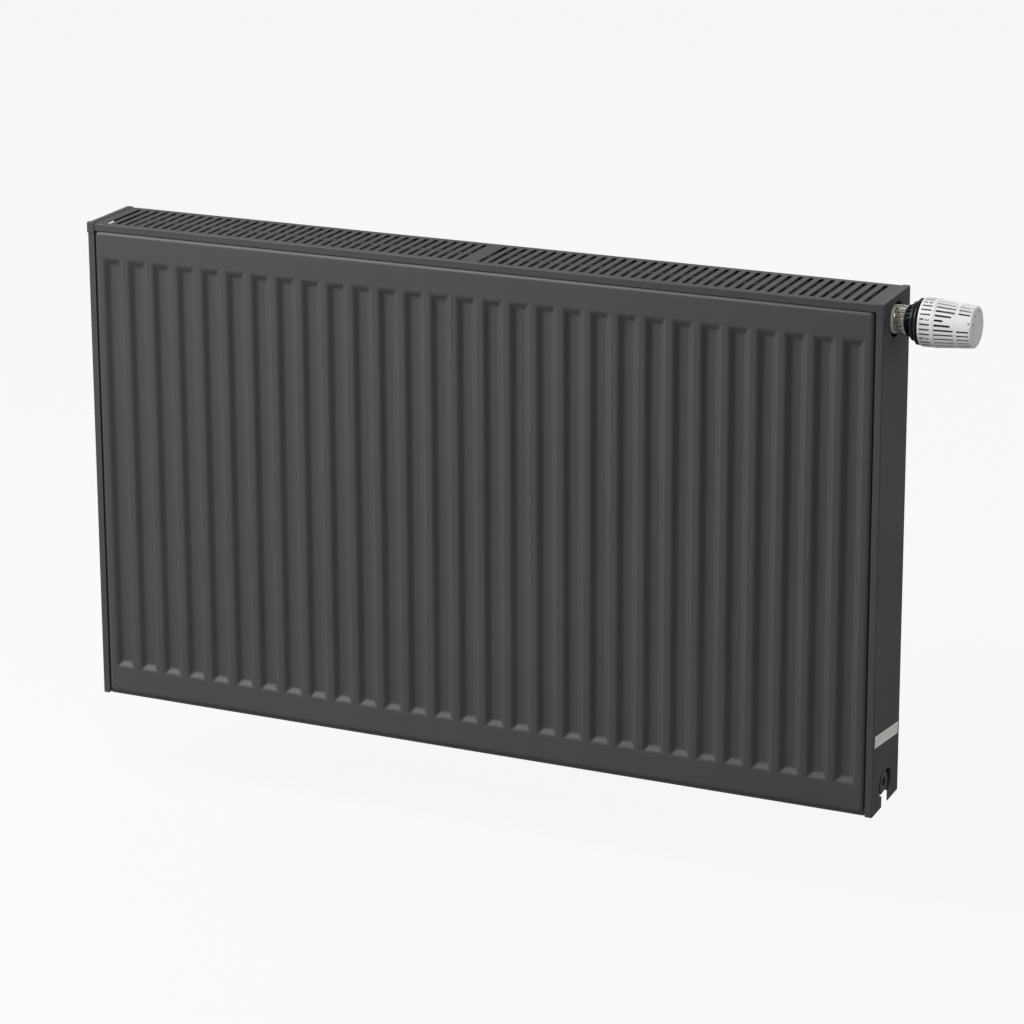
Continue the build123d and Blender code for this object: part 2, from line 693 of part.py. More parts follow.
def sensor_element():
    """The liquid-filled capsule with its corrugated neck and piston."""
    frame = on_side(TOP_PORT_Z)
    outline = [(0.0, 28.3), (3.0, 28.3), (3.0, 29.9), (14.6, 29.9), (14.6, 33.0)]
    for fold in range(4):
        start = 33.0 + 2.4 * fold
        outline += [(10.5, start + 0.6), (10.5, start + 1.2), (13.0, start + 1.8), (13.0, start + 2.4)]
    outline += [(14.4, 43.2), (14.4, CAPSULE_END - 1.9), (12.5, CAPSULE_END), (0.0, CAPSULE_END)]
    return turned(frame, outline)


# ---------------------------------------------------------------- vent and plugs


def blind_plug(side, z):
    """A side port's blind plug with a hexagon socket."""
    frame = on_side(z, side)
    plug = rod(frame, PLUG_RADIUS, -16.0, -3.4) + rod(frame, 12.0, -3.4, -1.2)
    socket = frame * Pos(0, 0, -9.0) * extrude(RegularPolygon(6.0, 6), 8.0)
    return plug - socket


def vent_plug():
    """The plug in the top left port that carries the air vent."""
    frame = on_side(TOP_PORT_Z, -1)
    plug = rod(frame, PLUG_RADIUS, -16.0, -3.4)
    plug += frame * Pos(0, 0, -3.4) * extrude(RegularPolygon(13.0, 6), 3.0)
    plug += rod(frame, VENT_BOSS_RADIUS, -0.4, VENT_BOSS_END)
    plug += turned(frame, [(0, 5.1), (VENT_BOSS_RADIUS + 0.7, 5.1), (VENT_BOSS_RADIUS, VENT_BOSS_END),
                           (0, VENT_BOSS_END)])
    plug -= rod(frame, VENT_SCREW_RADIUS + 0.05, -9.0, VENT_BOSS_END)
    plug -= rod(frame, 1.2, -16.0, -9.0)
    return plug - frame * Pos(-5, 0, 2.5) * Rot(0, 90, 0) * Cylinder(0.9, 5)


def vent_spout():
    """The swivelling outlet ring round the vent's boss."""
    frame = on_side(TOP_PORT_Z, -1)
    ring = rod(frame, SPOUT_RADIUS, SPOUT_START, SPOUT_END)
    nozzle = frame * Pos(-11.5, 0, 2.5) * Rot(0, 90, 0) * Cylinder(2.2, 8)
    ring = ring + nozzle - rod(frame, VENT_BOSS_RADIUS + 0.06, SPOUT_START, SPOUT_END)
    return ring - frame * Pos(-11.5, 0, 2.5) * Rot(0, 90, 0) * Cylinder(1.2, 9)


def vent_screw():
    """The vent's needle screw with a square head for the vent key."""
    frame = on_side(TOP_PORT_Z, -1)
    screw = rod(frame, VENT_SCREW_RADIUS, -7.5, 6.3)
    screw += turned(frame, [(0, -9.0), (1.1, -8.6), (VENT_SCREW_RADIUS - 0.4, -7.5), (0, -7.5)])
    screw += frame * Pos(0, 0, 6.3) * extrude(Rectangle(4.0, 4.0), 3.4)
    return screw - frame * Pos(0, 0, 9.2) * Box(1.0, 5.0, 1.0)


def build():
    """Every node of the assembly by name."""
    parts = {}
    parts.update(water_panels())
    parts.update(convectors())
    parts["top_left_tee"] = tee(-1, TOP_PORT_Z)
    parts["bottom_left_tee"] = tee(-1, BOTTOM_PORT_Z)
    parts["top_right_tee"] = top_right_tee()
    parts["bottom_right_tee"] = bottom_right_tee()
    parts["flow_socket"] = flow_socket()
    parts["flow_socket_bracket"] = flow_socket_bracket()
    parts["riser_pipe"] = riser_pipe()
    for row, z in (("upper", 215.0), ("lower", -215.0)):
        for hand, k in (("left", 5), ("right", 25)):
            parts[f"{row}_{hand}_wall_lug"] = wall_lug(CHANNEL_PITCH * k - SIDE, z)
    parts["top_grille"] = top_grille()
    parts["left_side_cover"] = side_cover(-1)
    parts["right_side_cover"] = side_cover(1)
    parts["rating_label"] = rating_label()

    valve = on_side(TOP_PORT_Z)
    parts["valve_seat_ring"] = valve_seat_ring()
    parts["valve_insert_body"] = valve_insert_body()
    parts["valve_insert_seal"] = port_seal(TOP_PORT_Z, 1)
    parts["gland_screw"] = gland_screw()
    parts["gland_seal"] = seal_ring(valve, 2.6, 0.48, 1.2)
    parts["valve_collar"] = valve_collar()
    parts["valve_spindle"] = valve_spindle()
    parts["valve_disc"] = valve_disc()
    parts["valve_return_spring"] = coil_spring(valve, 4.4, 0.45, SPRING_LEDGE, SPINDLE_COLLAR, 5)

    parts["union_nut"] = union_nut()
    parts["head_base"] = head_base()
    parts["push_pin"] = rod(valve, 3.0, SPINDLE_END + 0.05, 28.0)
    parts["scale_ring"] = scale_ring()
    parts["handwheel"] = handwheel()
    parts["sensor_carrier"] = sensor_carrier()
    parts["sensor_element"] = sensor_element()
    parts["over_travel_spring"] = coil_spring(
        valve, 8.5, 0.8, CAPSULE_END, CARRIER_END - CARRIER_ROOF, 4
    )

    parts["vent_plug"] = vent_plug()
    parts["vent_spout"] = vent_spout()
    parts["vent_screw"] = vent_screw()
    parts["vent_plug_seal"] = port_seal(TOP_PORT_Z, -1)
    for hand, side in (("left", -1), ("right", 1)):
        parts[f"bottom_{hand}_plug"] = blind_plug(side, BOTTOM_PORT_Z)
        parts[f"bottom_{hand}_plug_seal"] = port_seal(BOTTOM_PORT_Z, side)
    return parts


os.makedirs("parts", exist_ok=True)
for name, shape in build().items():
    export_step(shape, f"parts/{name}.step")
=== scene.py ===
"""The looks of a steel panel radiator with a built-in valve and a thermostatic head.

Metres. +X runs along the length towards the valve, +Y points to the wall, +Z is up. The origin is
the centre of the plane on which the wall lugs hang. Each sub-assembly is a class: its fields are
its sizes, and its methods build its meshes and dress them.
"""

import json
import logging
import math
from collections.abc import Callable, Iterator
from contextlib import contextmanager
from dataclasses import dataclass
from enum import Enum

import bmesh
import bpy
from mathutils import Matrix, Vector


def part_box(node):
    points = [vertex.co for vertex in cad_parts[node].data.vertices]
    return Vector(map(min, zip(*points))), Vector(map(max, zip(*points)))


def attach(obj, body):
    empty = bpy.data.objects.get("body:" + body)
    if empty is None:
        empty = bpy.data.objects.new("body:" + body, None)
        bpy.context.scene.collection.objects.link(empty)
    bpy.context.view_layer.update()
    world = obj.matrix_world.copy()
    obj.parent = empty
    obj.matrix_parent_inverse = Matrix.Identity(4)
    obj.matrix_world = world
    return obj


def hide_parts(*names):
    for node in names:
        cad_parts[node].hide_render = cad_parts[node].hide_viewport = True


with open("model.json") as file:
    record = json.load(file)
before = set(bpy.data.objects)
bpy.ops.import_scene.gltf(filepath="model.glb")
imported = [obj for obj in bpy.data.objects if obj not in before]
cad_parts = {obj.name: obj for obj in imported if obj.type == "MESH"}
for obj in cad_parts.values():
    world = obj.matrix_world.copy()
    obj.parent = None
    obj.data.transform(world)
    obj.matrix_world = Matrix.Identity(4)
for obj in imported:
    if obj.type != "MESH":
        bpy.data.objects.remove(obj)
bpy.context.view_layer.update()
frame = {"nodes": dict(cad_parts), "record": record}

LOG = logging.getLogger("radiator")
MM = 0.001
SNAP = 0.02 * MM
Colour = tuple[float, float, float]
Outline = list[tuple[float, float]]


# ------------------------------------------------------------------ the bench: modelling helpers


class Facing(Enum):
    """The way a flat blank faces, as the turn that a fresh plane needs."""

    FRONT = (math.pi / 2, 0.0, 0.0)
    BACK = (-math.pi / 2, 0.0, 0.0)
    TOP = (0.0, 0.0, 0.0)
    RIGHT = (0.0, math.pi / 2, 0.0)
    LEFT = (0.0, -math.pi / 2, 0.0)


class Part(Enum):
    """What is picked in a mesh, as Blender's three selection switches."""

    POINTS = (True, False, False)
    EDGES = (False, True, False)
    FACES = (False, False, True)


def clear_bench() -> None:
    """Leaves nothing selected."""
    bpy.ops.object.select_all(action="DESELECT")


def pick_all() -> None:
    """Selects the whole mesh that is being shaped."""
    bpy.ops.mesh.select_all(action="SELECT")


def turn_outward() -> None:
    """Makes all faces of the mesh that is being shaped point outward."""
    pick_all()
    bpy.ops.mesh.normals_make_consistent(inside=False)


def middle(edge: bmesh.types.BMEdge) -> Vector:
    """The middle point of an edge."""
    return (edge.verts[0].co + edge.verts[1].co) / 2


class Workpiece:
    """A mesh that is started from a primitive, shaped in edit mode and finished with modifiers."""

    def __init__(self, name: str) -> None:
        """Takes the primitive that was added last, with its place moved into its mesh.

        Args:
            name: the name of the object and of its mesh.
        """
        self.obj = bpy.context.object
        self.obj.name = name
        self.obj.data.name = name
        self.settle()

    def settle(self) -> None:
        """Moves the object's place, turn and size into its mesh."""
        self.take_up()
        bpy.ops.object.transform_apply(location=True, rotation=True, scale=True)

    def take_up(self) -> None:
        """Makes this piece the only one selected, and the active one."""
        clear_bench()
        self.obj.select_set(True)
        bpy.context.view_layer.objects.active = self.obj

    @contextmanager
    def shaping(self) -> Iterator[None]:
        """Edit mode on this piece alone, with all of it selected at first."""
        self.take_up()
        bpy.ops.object.mode_set(mode="EDIT")
        pick_all()
        yield
        bpy.ops.object.mode_set(mode="OBJECT")

    def pick(self, part: Part, test: Callable[..., bool]) -> int:
        """Selects only the parts of the mesh that pass a test. Used while shaping.

        Args:
            part: points, edges or faces.
            test: says whether one of them is wanted.

        Returns:
            How many were selected.
        """
        bpy.context.tool_settings.mesh_select_mode = part.value
        bpy.ops.mesh.select_all(action="DESELECT")
        mesh = bmesh.from_edit_mesh(self.obj.data)
        mesh.normal_update()
        groups = {Part.POINTS: mesh.verts, Part.EDGES: mesh.edges, Part.FACES: mesh.faces}
        chosen = [element for element in groups[part] if test(element)]
        for element in chosen:
            element.select_set(True)
        mesh.select_flush_mode()
        bmesh.update_edit_mesh(self.obj.data)
        return len(chosen)

    def cut(self, point: Vector, normal: tuple[float, float, float]) -> None:
        """Cuts new edges across the whole mesh where a plane meets it."""
        pick_all()
        bpy.ops.mesh.bisect(plane_co=point, plane_no=normal)

    def pull(self, part: Part, move: tuple[float, float, float]) -> None:
        """Extrudes what is selected along a vector."""
        shift = {"value": move}
        if part is Part.EDGES:
            bpy.ops.mesh.extrude_edges_move(TRANSFORM_OT_translate=shift)
        else:
            bpy.ops.mesh.extrude_region_move(TRANSFORM_OT_translate=shift)

    def face_towards(self, direction: tuple[float, float, float]) -> None:
        """Makes all faces point the same way, and that way the given one on the whole."""
        turn_outward()
        mesh = bmesh.from_edit_mesh(self.obj.data)
        along = sum(f.normal.dot(Vector(direction)) * f.calc_area() for f in mesh.faces)
        if along < 0:
            bpy.ops.mesh.flip_normals()

    def modify(self, kind: str, **settings: object) -> "Workpiece":
        """Adds a modifier and applies it.

        Args:
            kind: Blender's name for the modifier type.
            settings: the modifier's own settings.

        Returns:
            This piece.
        """
        self.take_up()
        modifier = self.obj.modifiers.new(kind.lower(), kind)
        for name, value in settings.items():
            setattr(modifier, name, value)
        bpy.ops.object.modifier_apply(modifier=modifier.name)
        return self

    def soften(self, width: float, segments: int = 2, limit: float = 40.0) -> "Workpiece":
        """Rounds every edge that is sharper than a limit in degrees."""
        return self.modify(
            "BEVEL", width=width, segments=segments, limit_method="ANGLE",
            angle_limit=math.radians(limit), miter_outer="MITER_ARC", use_clamp_overlap=True,
        )

    def repeat(self, count: int, pitch: float) -> None:
        """Lines up copies of the piece along X and joins them where they meet."""
        self.modify(
            "ARRAY", count=count, use_relative_offset=False, use_constant_offset=True,
            constant_offset_displace=(pitch, 0, 0), use_merge_vertices=True,
            merge_threshold=0.05 * MM,
        )

    def thicken(self, thickness: float) -> "Workpiece":
        """Gives a sheet its thickness, all of it behind its face."""
        return self.modify("SOLIDIFY", thickness=thickness, offset=-1.0, use_even_offset=True)

    def drill(self, cutter: "Workpiece") -> "Workpiece":
        """Takes a cutter's shape away from this piece, and throws the cutter away."""
        self.modify("BOOLEAN", operation="DIFFERENCE", solver="EXACT", object=cutter.obj)
        bpy.data.objects.remove(cutter.obj)
        return self

    def join(self, *others: "Workpiece") -> "Workpiece":
        """Makes other pieces part of this one."""
        self.take_up()
        for other in others:
            other.obj.select_set(True)
        bpy.ops.object.join()
        return self

    def dress(
        self, finish: "Finish", body: str, replaces: tuple[str, ...] = (), smooth: float = 35.0
    ) -> "Workpiece":
        """Shades the piece, gives it its finish and hangs it on its body.

        Args:
            finish: the finish of its whole surface.
            body: the moving body that it rides on.
            replaces: the plain solids that it stands for.
            smooth: the angle in degrees up to which faces are shaded as one surface.

        Returns:
            This piece.
        """
        self.take_up()
        bpy.ops.object.shade_smooth_by_angle(angle=math.radians(smooth))
        self.modify("WEIGHTED_NORMAL", keep_sharp=True, weight=80)
        self.obj.data.materials.clear()
        self.obj.data.materials.append(finish.material())
        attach(self.obj, body)
        if replaces:
            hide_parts(*replaces)
        LOG.info("%s: %d faces, on %s", self.obj.name, len(self.obj.data.polygons), body)
        return self


def blank(name: str, low: Vector, high: Vector, facing: Facing) -> Workpiece:
    """A flat rectangle between two corners.

    Args:
        name: the piece's name.
        low: the lowest corner.
        high: the highest corner.
        facing: the way that it faces.

    Returns:
        The piece.
    """
    clear_bench()
    bpy.ops.mesh.primitive_plane_add(size=1.0, location=(0, 0, 0), rotation=facing.value)
    piece = Workpiece(name)
    piece.obj.scale = [max(h - l, 1e-6) for l, h in zip(low, high)]
    piece.obj.location = (low + high) / 2
    piece.settle()
    return piece


def block(name: str, low: Vector, high: Vector) -> Workpiece:
    """A box between two corners, as the start of a piece or as a cutter."""
    clear_bench()
    bpy.ops.mesh.primitive_cube_add(size=1.0, location=(low + high) / 2, scale=high - low)
    return Workpiece(name)


@dataclass(frozen=True)
class Station:
    """A turning axis along X.

    Distances run outward from its origin, and angles from the front (-Y) upwards.
    """

    origin: Vector
    outward: int

    def place(self, distance: float, radius: float, degrees: float = 0.0) -> Vector:
        """The point at a distance, a radius and an angle, from millimetres."""
        turn = math.radians(degrees)
        across = Vector((0, -math.cos(turn), math.sin(turn)))
        return self.origin + Vector((self.outward * distance * MM, 0, 0)) + across * radius * MM

    def measure(self, point: Vector) -> tuple[float, float, float]:
        """A point's distance and radius in millimetres, and its angle in degrees."""
        offset = point - self.origin
        angle = math.degrees(math.atan2(offset.z, -offset.y))
        return self.outward * offset.x / MM, math.hypot(offset.y, offset.z) / MM, angle


def drawn(name: str, points: list[Vector]) -> Workpiece:
    """A line through points, from which a piece is turned or filled."""
    clear_bench()
    bpy.ops.mesh.primitive_plane_add(size=MM, location=points[0])
    piece = Workpiece(name)
    with piece.shaping():
        bpy.context.tool_settings.mesh_select_mode = Part.POINTS.value
        bpy.ops.mesh.merge(type="CENTER")
        for before, after in zip(points, points[1:]):
            piece.pull(Part.POINTS, after - before)
    return piece


def turned(
    name: str, outline: Outline, station: Station, steps: int = 96,
    degrees: float = 0.0, closed: bool = True,
) -> Workpiece:
    """A piece turned about a station's axis.

    Args:
        name: the piece's name.
        outline: (distance, radius) points in millimetres.
        station: the axis.
        steps: columns round the axis.
        degrees: the angle of the first column's edge.
        closed: whether the outline's last point joins its first.

    Returns:
        The piece.
    """
    piece = drawn(name, [station.place(a, r, degrees) for a, r in outline])
    with piece.shaping():
        if closed:
            piece.pick(Part.POINTS, lambda v: len(v.link_edges) == 1)
            bpy.ops.mesh.edge_face_add()
        pick_all()
        bpy.ops.mesh.spin(steps=steps, angle=2 * math.pi, center=station.origin, axis=(1, 0, 0))
        pick_all()
        bpy.ops.mesh.remove_doubles(threshold=0.001 * MM)
        bpy.ops.mesh.normals_make_consistent(inside=False)
    return piece


def capsule(
    name: str, centre: Vector, radius: float, spread: float, depth: float, facing: Facing
) -> Workpiece:
    """A long-hole cutter: a cylinder whose two halves are moved apart along Y.

    Args:
        name: the cutter's name.
        centre: its middle.
        radius: the radius of its round ends.
        spread: how far each half is moved.
        depth: its length along its axis.
        facing: the way that its axis points.

    Returns:
        The cutter.
    """
    sides = 48
    clear_bench()
    bpy.ops.mesh.primitive_cylinder_add(vertices=sides, radius=radius, depth=depth)
    piece = Workpiece(name)
    piece.obj.rotation_euler = (0, 0, math.pi / sides)
    piece.settle()
    piece.obj.rotation_euler = facing.value
    piece.obj.location = centre
    piece.settle()
    with piece.shaping():
        for way in (-1, 1):
            piece.pick(Part.POINTS, lambda v: way * (v.co.y - centre.y) > 0)
            bpy.ops.transform.translate(value=(0, way * spread, 0))
    return piece


# ------------------------------------------------------------------ finishes


class Graph:
    """A shader node tree that is filled in one node at a time."""

    def __init__(self, tree: bpy.types.NodeTree) -> None:
        """Starts with an empty tree."""
        self.tree = tree
        tree.nodes.clear()

    def add(self, kind: str, settings: dict | None = None, **inputs: object) -> bpy.types.Node:
        """Adds a node.

        Args:
            kind: Blender's node type.
            settings: the node's own settings.
            inputs: for each input, a value or the output socket to link. A double underscore
                stands for a space in its name.

        Returns:
            The node.
        """
        node = self.tree.nodes.new(kind)
        for name, value in (settings or {}).items():
            setattr(node, name, value)
        for name, value in inputs.items():
            key = int(name[1:]) if name[1:].isdigit() else name.replace("__", " ")
            if isinstance(value, bpy.types.NodeSocket):
                self.tree.links.new(value, node.inputs[key])
            else:
                node.inputs[key].default_value = value
        return node

    def maths(
        self, operation: str, first: object, second: object, clamp: bool = False
    ) -> bpy.types.NodeSocket:
        """Adds a sum or product of two values and gives its result."""
        settings = {"operation": operation, "use_clamp": clamp}
        return self.add("ShaderNodeMath", settings, _0=first, _1=second).outputs[0]

    def mix(self, share: object, first: object, second: object) -> bpy.types.NodeSocket:
        """Adds a mix of two colours and gives its result."""
        settings = {"data_type": "RGBA"}
        return self.add("ShaderNodeMix", settings, _0=share, _6=first, _7=second).outputs[2]


def effect(
    name: str, inputs: dict[str, str], outputs: dict[str, str]
) -> tuple[Graph, dict, bpy.types.Node]:
    """Starts a shader node group with named sockets.

    Args:
        name: the group's name.
        inputs: the socket type of each input.
        outputs: the socket type of each output.

    Returns:
        The group's graph, its input sockets by name, and its output node.
    """
    tree = bpy.data.node_groups.new(name, "ShaderNodeTree")
    graph = Graph(tree)
    for label, kind in inputs.items():
        tree.interface.new_socket(label, in_out="INPUT", socket_type=kind)
    for label, kind in outputs.items():
        tree.interface.new_socket(label, in_out="OUTPUT", socket_type=kind)
    source = graph.add("NodeGroupInput")
    return graph, dict(source.outputs.items()), graph.add("NodeGroupOutput")


def grain_effect() -> bpy.types.NodeTree:
    """Fine relief and broad mottling, stretched along the axes as the process leaves them."""
    graph, given, result = effect(
        "surface_grain",
        {"Stretch": "NodeSocketVector", "Scale": "NodeSocketFloat", "Blotch": "NodeSocketFloat"},
        {"Height": "NodeSocketFloat", "Mottle": "NodeSocketFloat"},
    )
    place = graph.add("ShaderNodeTexCoord").outputs["Object"]
    drawn = graph.add("ShaderNodeMapping", Vector=place, Scale=given["Stretch"]).outputs[0]
    fine = graph.add(
        "ShaderNodeTexNoise", Vector=drawn, Scale=given["Scale"], Detail=3.0, Roughness=0.55
    )
    broad = graph.add(
        "ShaderNodeTexNoise", Vector=place, Scale=given["Blotch"], Detail=4.0, Roughness=0.6
    )
    spread = graph.add("ShaderNodeMapRange", Value=broad.outputs[0], _1=0.3, _2=0.7)
    graph.tree.links.new(fine.outputs[0], result.inputs["Height"])
    graph.tree.links.new(spread.outputs[0], result.inputs["Mottle"])
    return graph.tree


def dust_effect() -> bpy.types.NodeTree:
    """A thin layer of dust that lies on what faces up, thicker in patches."""
    graph, given, result = effect(
        "settled_dust",
        {"Colour": "NodeSocketColor", "Dust": "NodeSocketColor", "Amount": "NodeSocketFloat"},
        {"Colour": "NodeSocketColor", "Layer": "NodeSocketFloat"},
    )
    normal = graph.add("ShaderNodeNewGeometry").outputs["Normal"]
    upward = graph.add("ShaderNodeSeparateXYZ", Vector=normal).outputs["Z"]
    level = graph.add("ShaderNodeMapRange", Value=upward, _1=0.35, _2=0.95).outputs[0]
    place = graph.add("ShaderNodeTexCoord").outputs["Object"]
    patches = graph.add("ShaderNodeTexNoise", Vector=place, Scale=55.0, Detail=6.0, Roughness=0.65)
    lying = graph.maths("MULTIPLY", level, patches.outputs[0])
    layer = graph.maths("MULTIPLY", lying, given["Amount"])
    mixed = graph.mix(layer, given["Colour"], given["Dust"])
    graph.tree.links.new(mixed, result.inputs["Colour"])
    graph.tree.links.new(layer, result.inputs["Layer"])
    return graph.tree


def edge_effect() -> bpy.types.NodeTree:
    """A mask of the ridges that hands and cloths have rubbed, broken up by noise."""
    graph, given, result = effect(
        "edge_rub", {"Reach": "NodeSocketFloat"}, {"Mask": "NodeSocketFloat"}
    )
    ridge = graph.add("ShaderNodeNewGeometry").outputs["Pointiness"]
    sharp = graph.add("ShaderNodeMapRange", Value=ridge, _1=0.52, _2=0.60).outputs[0]
    place = graph.add("ShaderNodeTexCoord").outputs["Object"]
    broken = graph.add("ShaderNodeTexNoise", Vector=place, Scale=350.0, Detail=5.0, Roughness=0.6)
    uneven = graph.maths("MULTIPLY", sharp, broken.outputs[0])
    mask = graph.maths("MULTIPLY", uneven, given["Reach"], clamp=True)
    graph.tree.links.new(mask, result.inputs["Mask"])
    return graph.tree


EFFECTS = {make.__name__: make() for make in (grain_effect, dust_effect, edge_effect)}


class Grain(Enum):
    """How a process leaves a surface: its stretch along the axes and its scale per metre."""

    POWDER_COAT = ((1.0, 1.0, 1.0), 620.0)
    DIP_PRIMER = ((1.0, 1.0, 0.35), 240.0)
    MOULDED = ((1.0, 1.0, 1.0), 2600.0)
    TURNED = ((9.0, 0.6, 0.6), 420.0)
    DRAWN = ((0.5, 6.0, 6.0), 500.0)
    GROUND = ((0.4, 8.0, 8.0), 700.0)
    FILM = ((1.0, 7.0, 1.0), 260.0)
    RUBBER = ((1.0, 1.0, 1.0), 1500.0)


@dataclass(frozen=True)
class Finish:
    """A surface finish, built from the shared effects with its own values."""

    slot: str
    colour: Colour
    mottled: Colour
    roughness: float
    uneven: float
    grain: Grain
    relief: float
    blotch: float = 9.0
    metallic: float = 0.0
    coat: float = 0.0
    dust: float = 0.0
    rubbed: Colour | None = None
    specular: float = 0.5
    label: str = ""

    def material(self) -> bpy.types.Material:
        """The finish as a material, made once.

        Returns:
            The material.
        """
        name = self.label or self.slot
        known = bpy.data.materials.get(f"{name}_finish")
        if known:
            return known
        made = bpy.data.materials.new(f"{name}_finish")
        made.use_nodes = True
        graph = Graph(made.node_tree)
        grain = graph.add("ShaderNodeGroup", {"node_tree": EFFECTS["grain_effect"]})
        stretch, scale = self.grain.value
        grain.inputs["Stretch"].default_value = stretch
        grain.inputs["Scale"].default_value = scale
        grain.inputs["Blotch"].default_value = self.blotch
        mottle = grain.outputs["Mottle"]
        tone = graph.mix(mottle, (*self.colour, 1.0), (*self.mottled, 1.0))
        gloss = graph.add(
            "ShaderNodeMapRange", Value=mottle, _3=self.roughness - self.uneven,
            _4=self.roughness + self.uneven,
        ).outputs[0]
        if self.rubbed:
            edge = graph.add("ShaderNodeGroup", {"node_tree": EFFECTS["edge_effect"]}, Reach=1.1)
            tone = graph.mix(edge.outputs["Mask"], tone, (*self.rubbed, 1.0))
        if self.dust:
            dust = graph.add(
                "ShaderNodeGroup", {"node_tree": EFFECTS["dust_effect"]},
                Colour=tone, Dust=(0.34, 0.33, 0.31, 1.0), Amount=self.dust,
            )
            tone = dust.outputs["Colour"]
            gloss = graph.maths("ADD", gloss, dust.outputs["Layer"], clamp=True)
        bump = graph.add(
            "ShaderNodeBump", Height=grain.outputs["Height"], Strength=1.0,
            Distance=self.relief * MM,
        )
        shader = graph.add(
            "ShaderNodeBsdfPrincipled", Base__Color=tone, Roughness=gloss,
            Normal=bump.outputs["Normal"], Metallic=self.metallic, Coat__Weight=self.coat,
            Coat__Roughness=0.12, Specular__IOR__Level=self.specular,
        )
        graph.add("ShaderNodeOutputMaterial", Surface=shader.outputs[0])
        return made


PANEL_PAINT = Finish(
    "panel_paint", (0.043, 0.0444, 0.0474), (0.038, 0.0394, 0.0424), 0.50, 0.03,
    Grain.POWDER_COAT, 0.05, blotch=7.0, dust=0.05, rubbed=(0.055, 0.056, 0.059), specular=0.4,
)
CASING_PAINT = Finish(
    "casing_paint", (0.0365, 0.0377, 0.0404), (0.0318, 0.0329, 0.0355), 0.54, 0.03,
    Grain.POWDER_COAT, 0.05, blotch=11.0, dust=0.10, rubbed=(0.057, 0.058, 0.061), specular=0.35,
)
INNER_PAINT = Finish(
    "inner_paint", (0.040, 0.041, 0.044), (0.030, 0.031, 0.033), 0.62, 0.06,
    Grain.DIP_PRIMER, 0.12, blotch=16.0, dust=0.22,
)
LABEL_FILM = Finish(
    "label_film", (0.74, 0.72, 0.69), (0.66, 0.64, 0.61), 0.38, 0.05, Grain.FILM, 0.02, blotch=60.0,
)
LABEL_BORDER = Finish(
    "label_film", (0.93, 0.92, 0.91), (0.88, 0.87, 0.86), 0.34, 0.05, Grain.FILM, 0.02,
    blotch=60.0, label="label_border",
)
NICKEL = Finish(
    "nickel_plating", (0.56, 0.52, 0.46), (0.48, 0.44, 0.39), 0.27, 0.06, Grain.TURNED, 0.03,
    blotch=180.0, metallic=1.0, rubbed=(0.74, 0.71, 0.65),
)
BRASS = Finish(
    "brass", (0.62, 0.45, 0.20), (0.52, 0.36, 0.15), 0.30, 0.08, Grain.TURNED, 0.03,
    blotch=200.0, metallic=1.0,
)
STAINLESS = Finish(
    "stainless_steel", (0.52, 0.52, 0.51), (0.46, 0.46, 0.46), 0.28, 0.05, Grain.GROUND, 0.02,
    blotch=150.0, metallic=1.0,
)
SPRING_STEEL = Finish(
    "spring_steel", (0.34, 0.34, 0.35), (0.26, 0.26, 0.27), 0.34, 0.06, Grain.DRAWN, 0.02,
    blotch=220.0, metallic=1.0,
)
SEAL_RUBBER = Finish(
    "seal_rubber", (0.018, 0.018, 0.018), (0.026, 0.026, 0.026), 0.68, 0.06, Grain.RUBBER, 0.05,
    blotch=120.0,
)
IVORY_PLASTIC = Finish(
    "ivory_plastic", (0.70, 0.69, 0.57), (0.64, 0.63, 0.51), 0.42, 0.05, Grain.MOULDED, 0.02,
    blotch=140.0, specular=0.45,
)
BLACK_PLASTIC = Finish(
    "black_plastic", (0.010, 0.010, 0.011), (0.015, 0.015, 0.016), 0.38, 0.06, Grain.MOULDED, 0.03,
    blotch=120.0,
)
WHITE_PLASTIC = Finish(
    "white_plastic", (0.70, 0.70, 0.69), (0.66, 0.66, 0.65), 0.36, 0.04, Grain.MOULDED, 0.02,
    blotch=80.0, coat=0.15,
)
# Near black: partly the carrier's own colour, partly painted shade, so that the handwheel's slots,
# through which it shows, look deep.
CARRIER_PLASTIC_AND_SLOT_SHADE = Finish(
    "carrier_plastic", (0.050, 0.050, 0.052), (0.040, 0.040, 0.041), 0.50, 0.06, Grain.MOULDED,
    0.03, blotch=120.0,
)
SENSOR_METAL = Finish(
    "sensor_metal", (0.30, 0.30, 0.29), (0.24, 0.24, 0.235), 0.36, 0.06, Grain.DRAWN, 0.02,
    blotch=160.0, metallic=1.0,
)
PRINT_INK = Finish(
    "white_plastic", (0.035, 0.035, 0.037), (0.05, 0.05, 0.052), 0.46, 0.05, Grain.MOULDED, 0.01,
    blotch=400.0, label="print_ink",
)
FINISHES = {
    finish.slot: finish
    for finish in (
        PANEL_PAINT, CASING_PAINT, INNER_PAINT, LABEL_FILM, NICKEL, BRASS, STAINLESS, SPRING_STEEL,
        SEAL_RUBBER, IVORY_PLASTIC, BLACK_PLASTIC, WHITE_PLASTIC, CARRIER_PLASTIC_AND_SLOT_SHADE, SENSOR_METAL,
    )
}


# ------------------------------------------------------------------ water panels


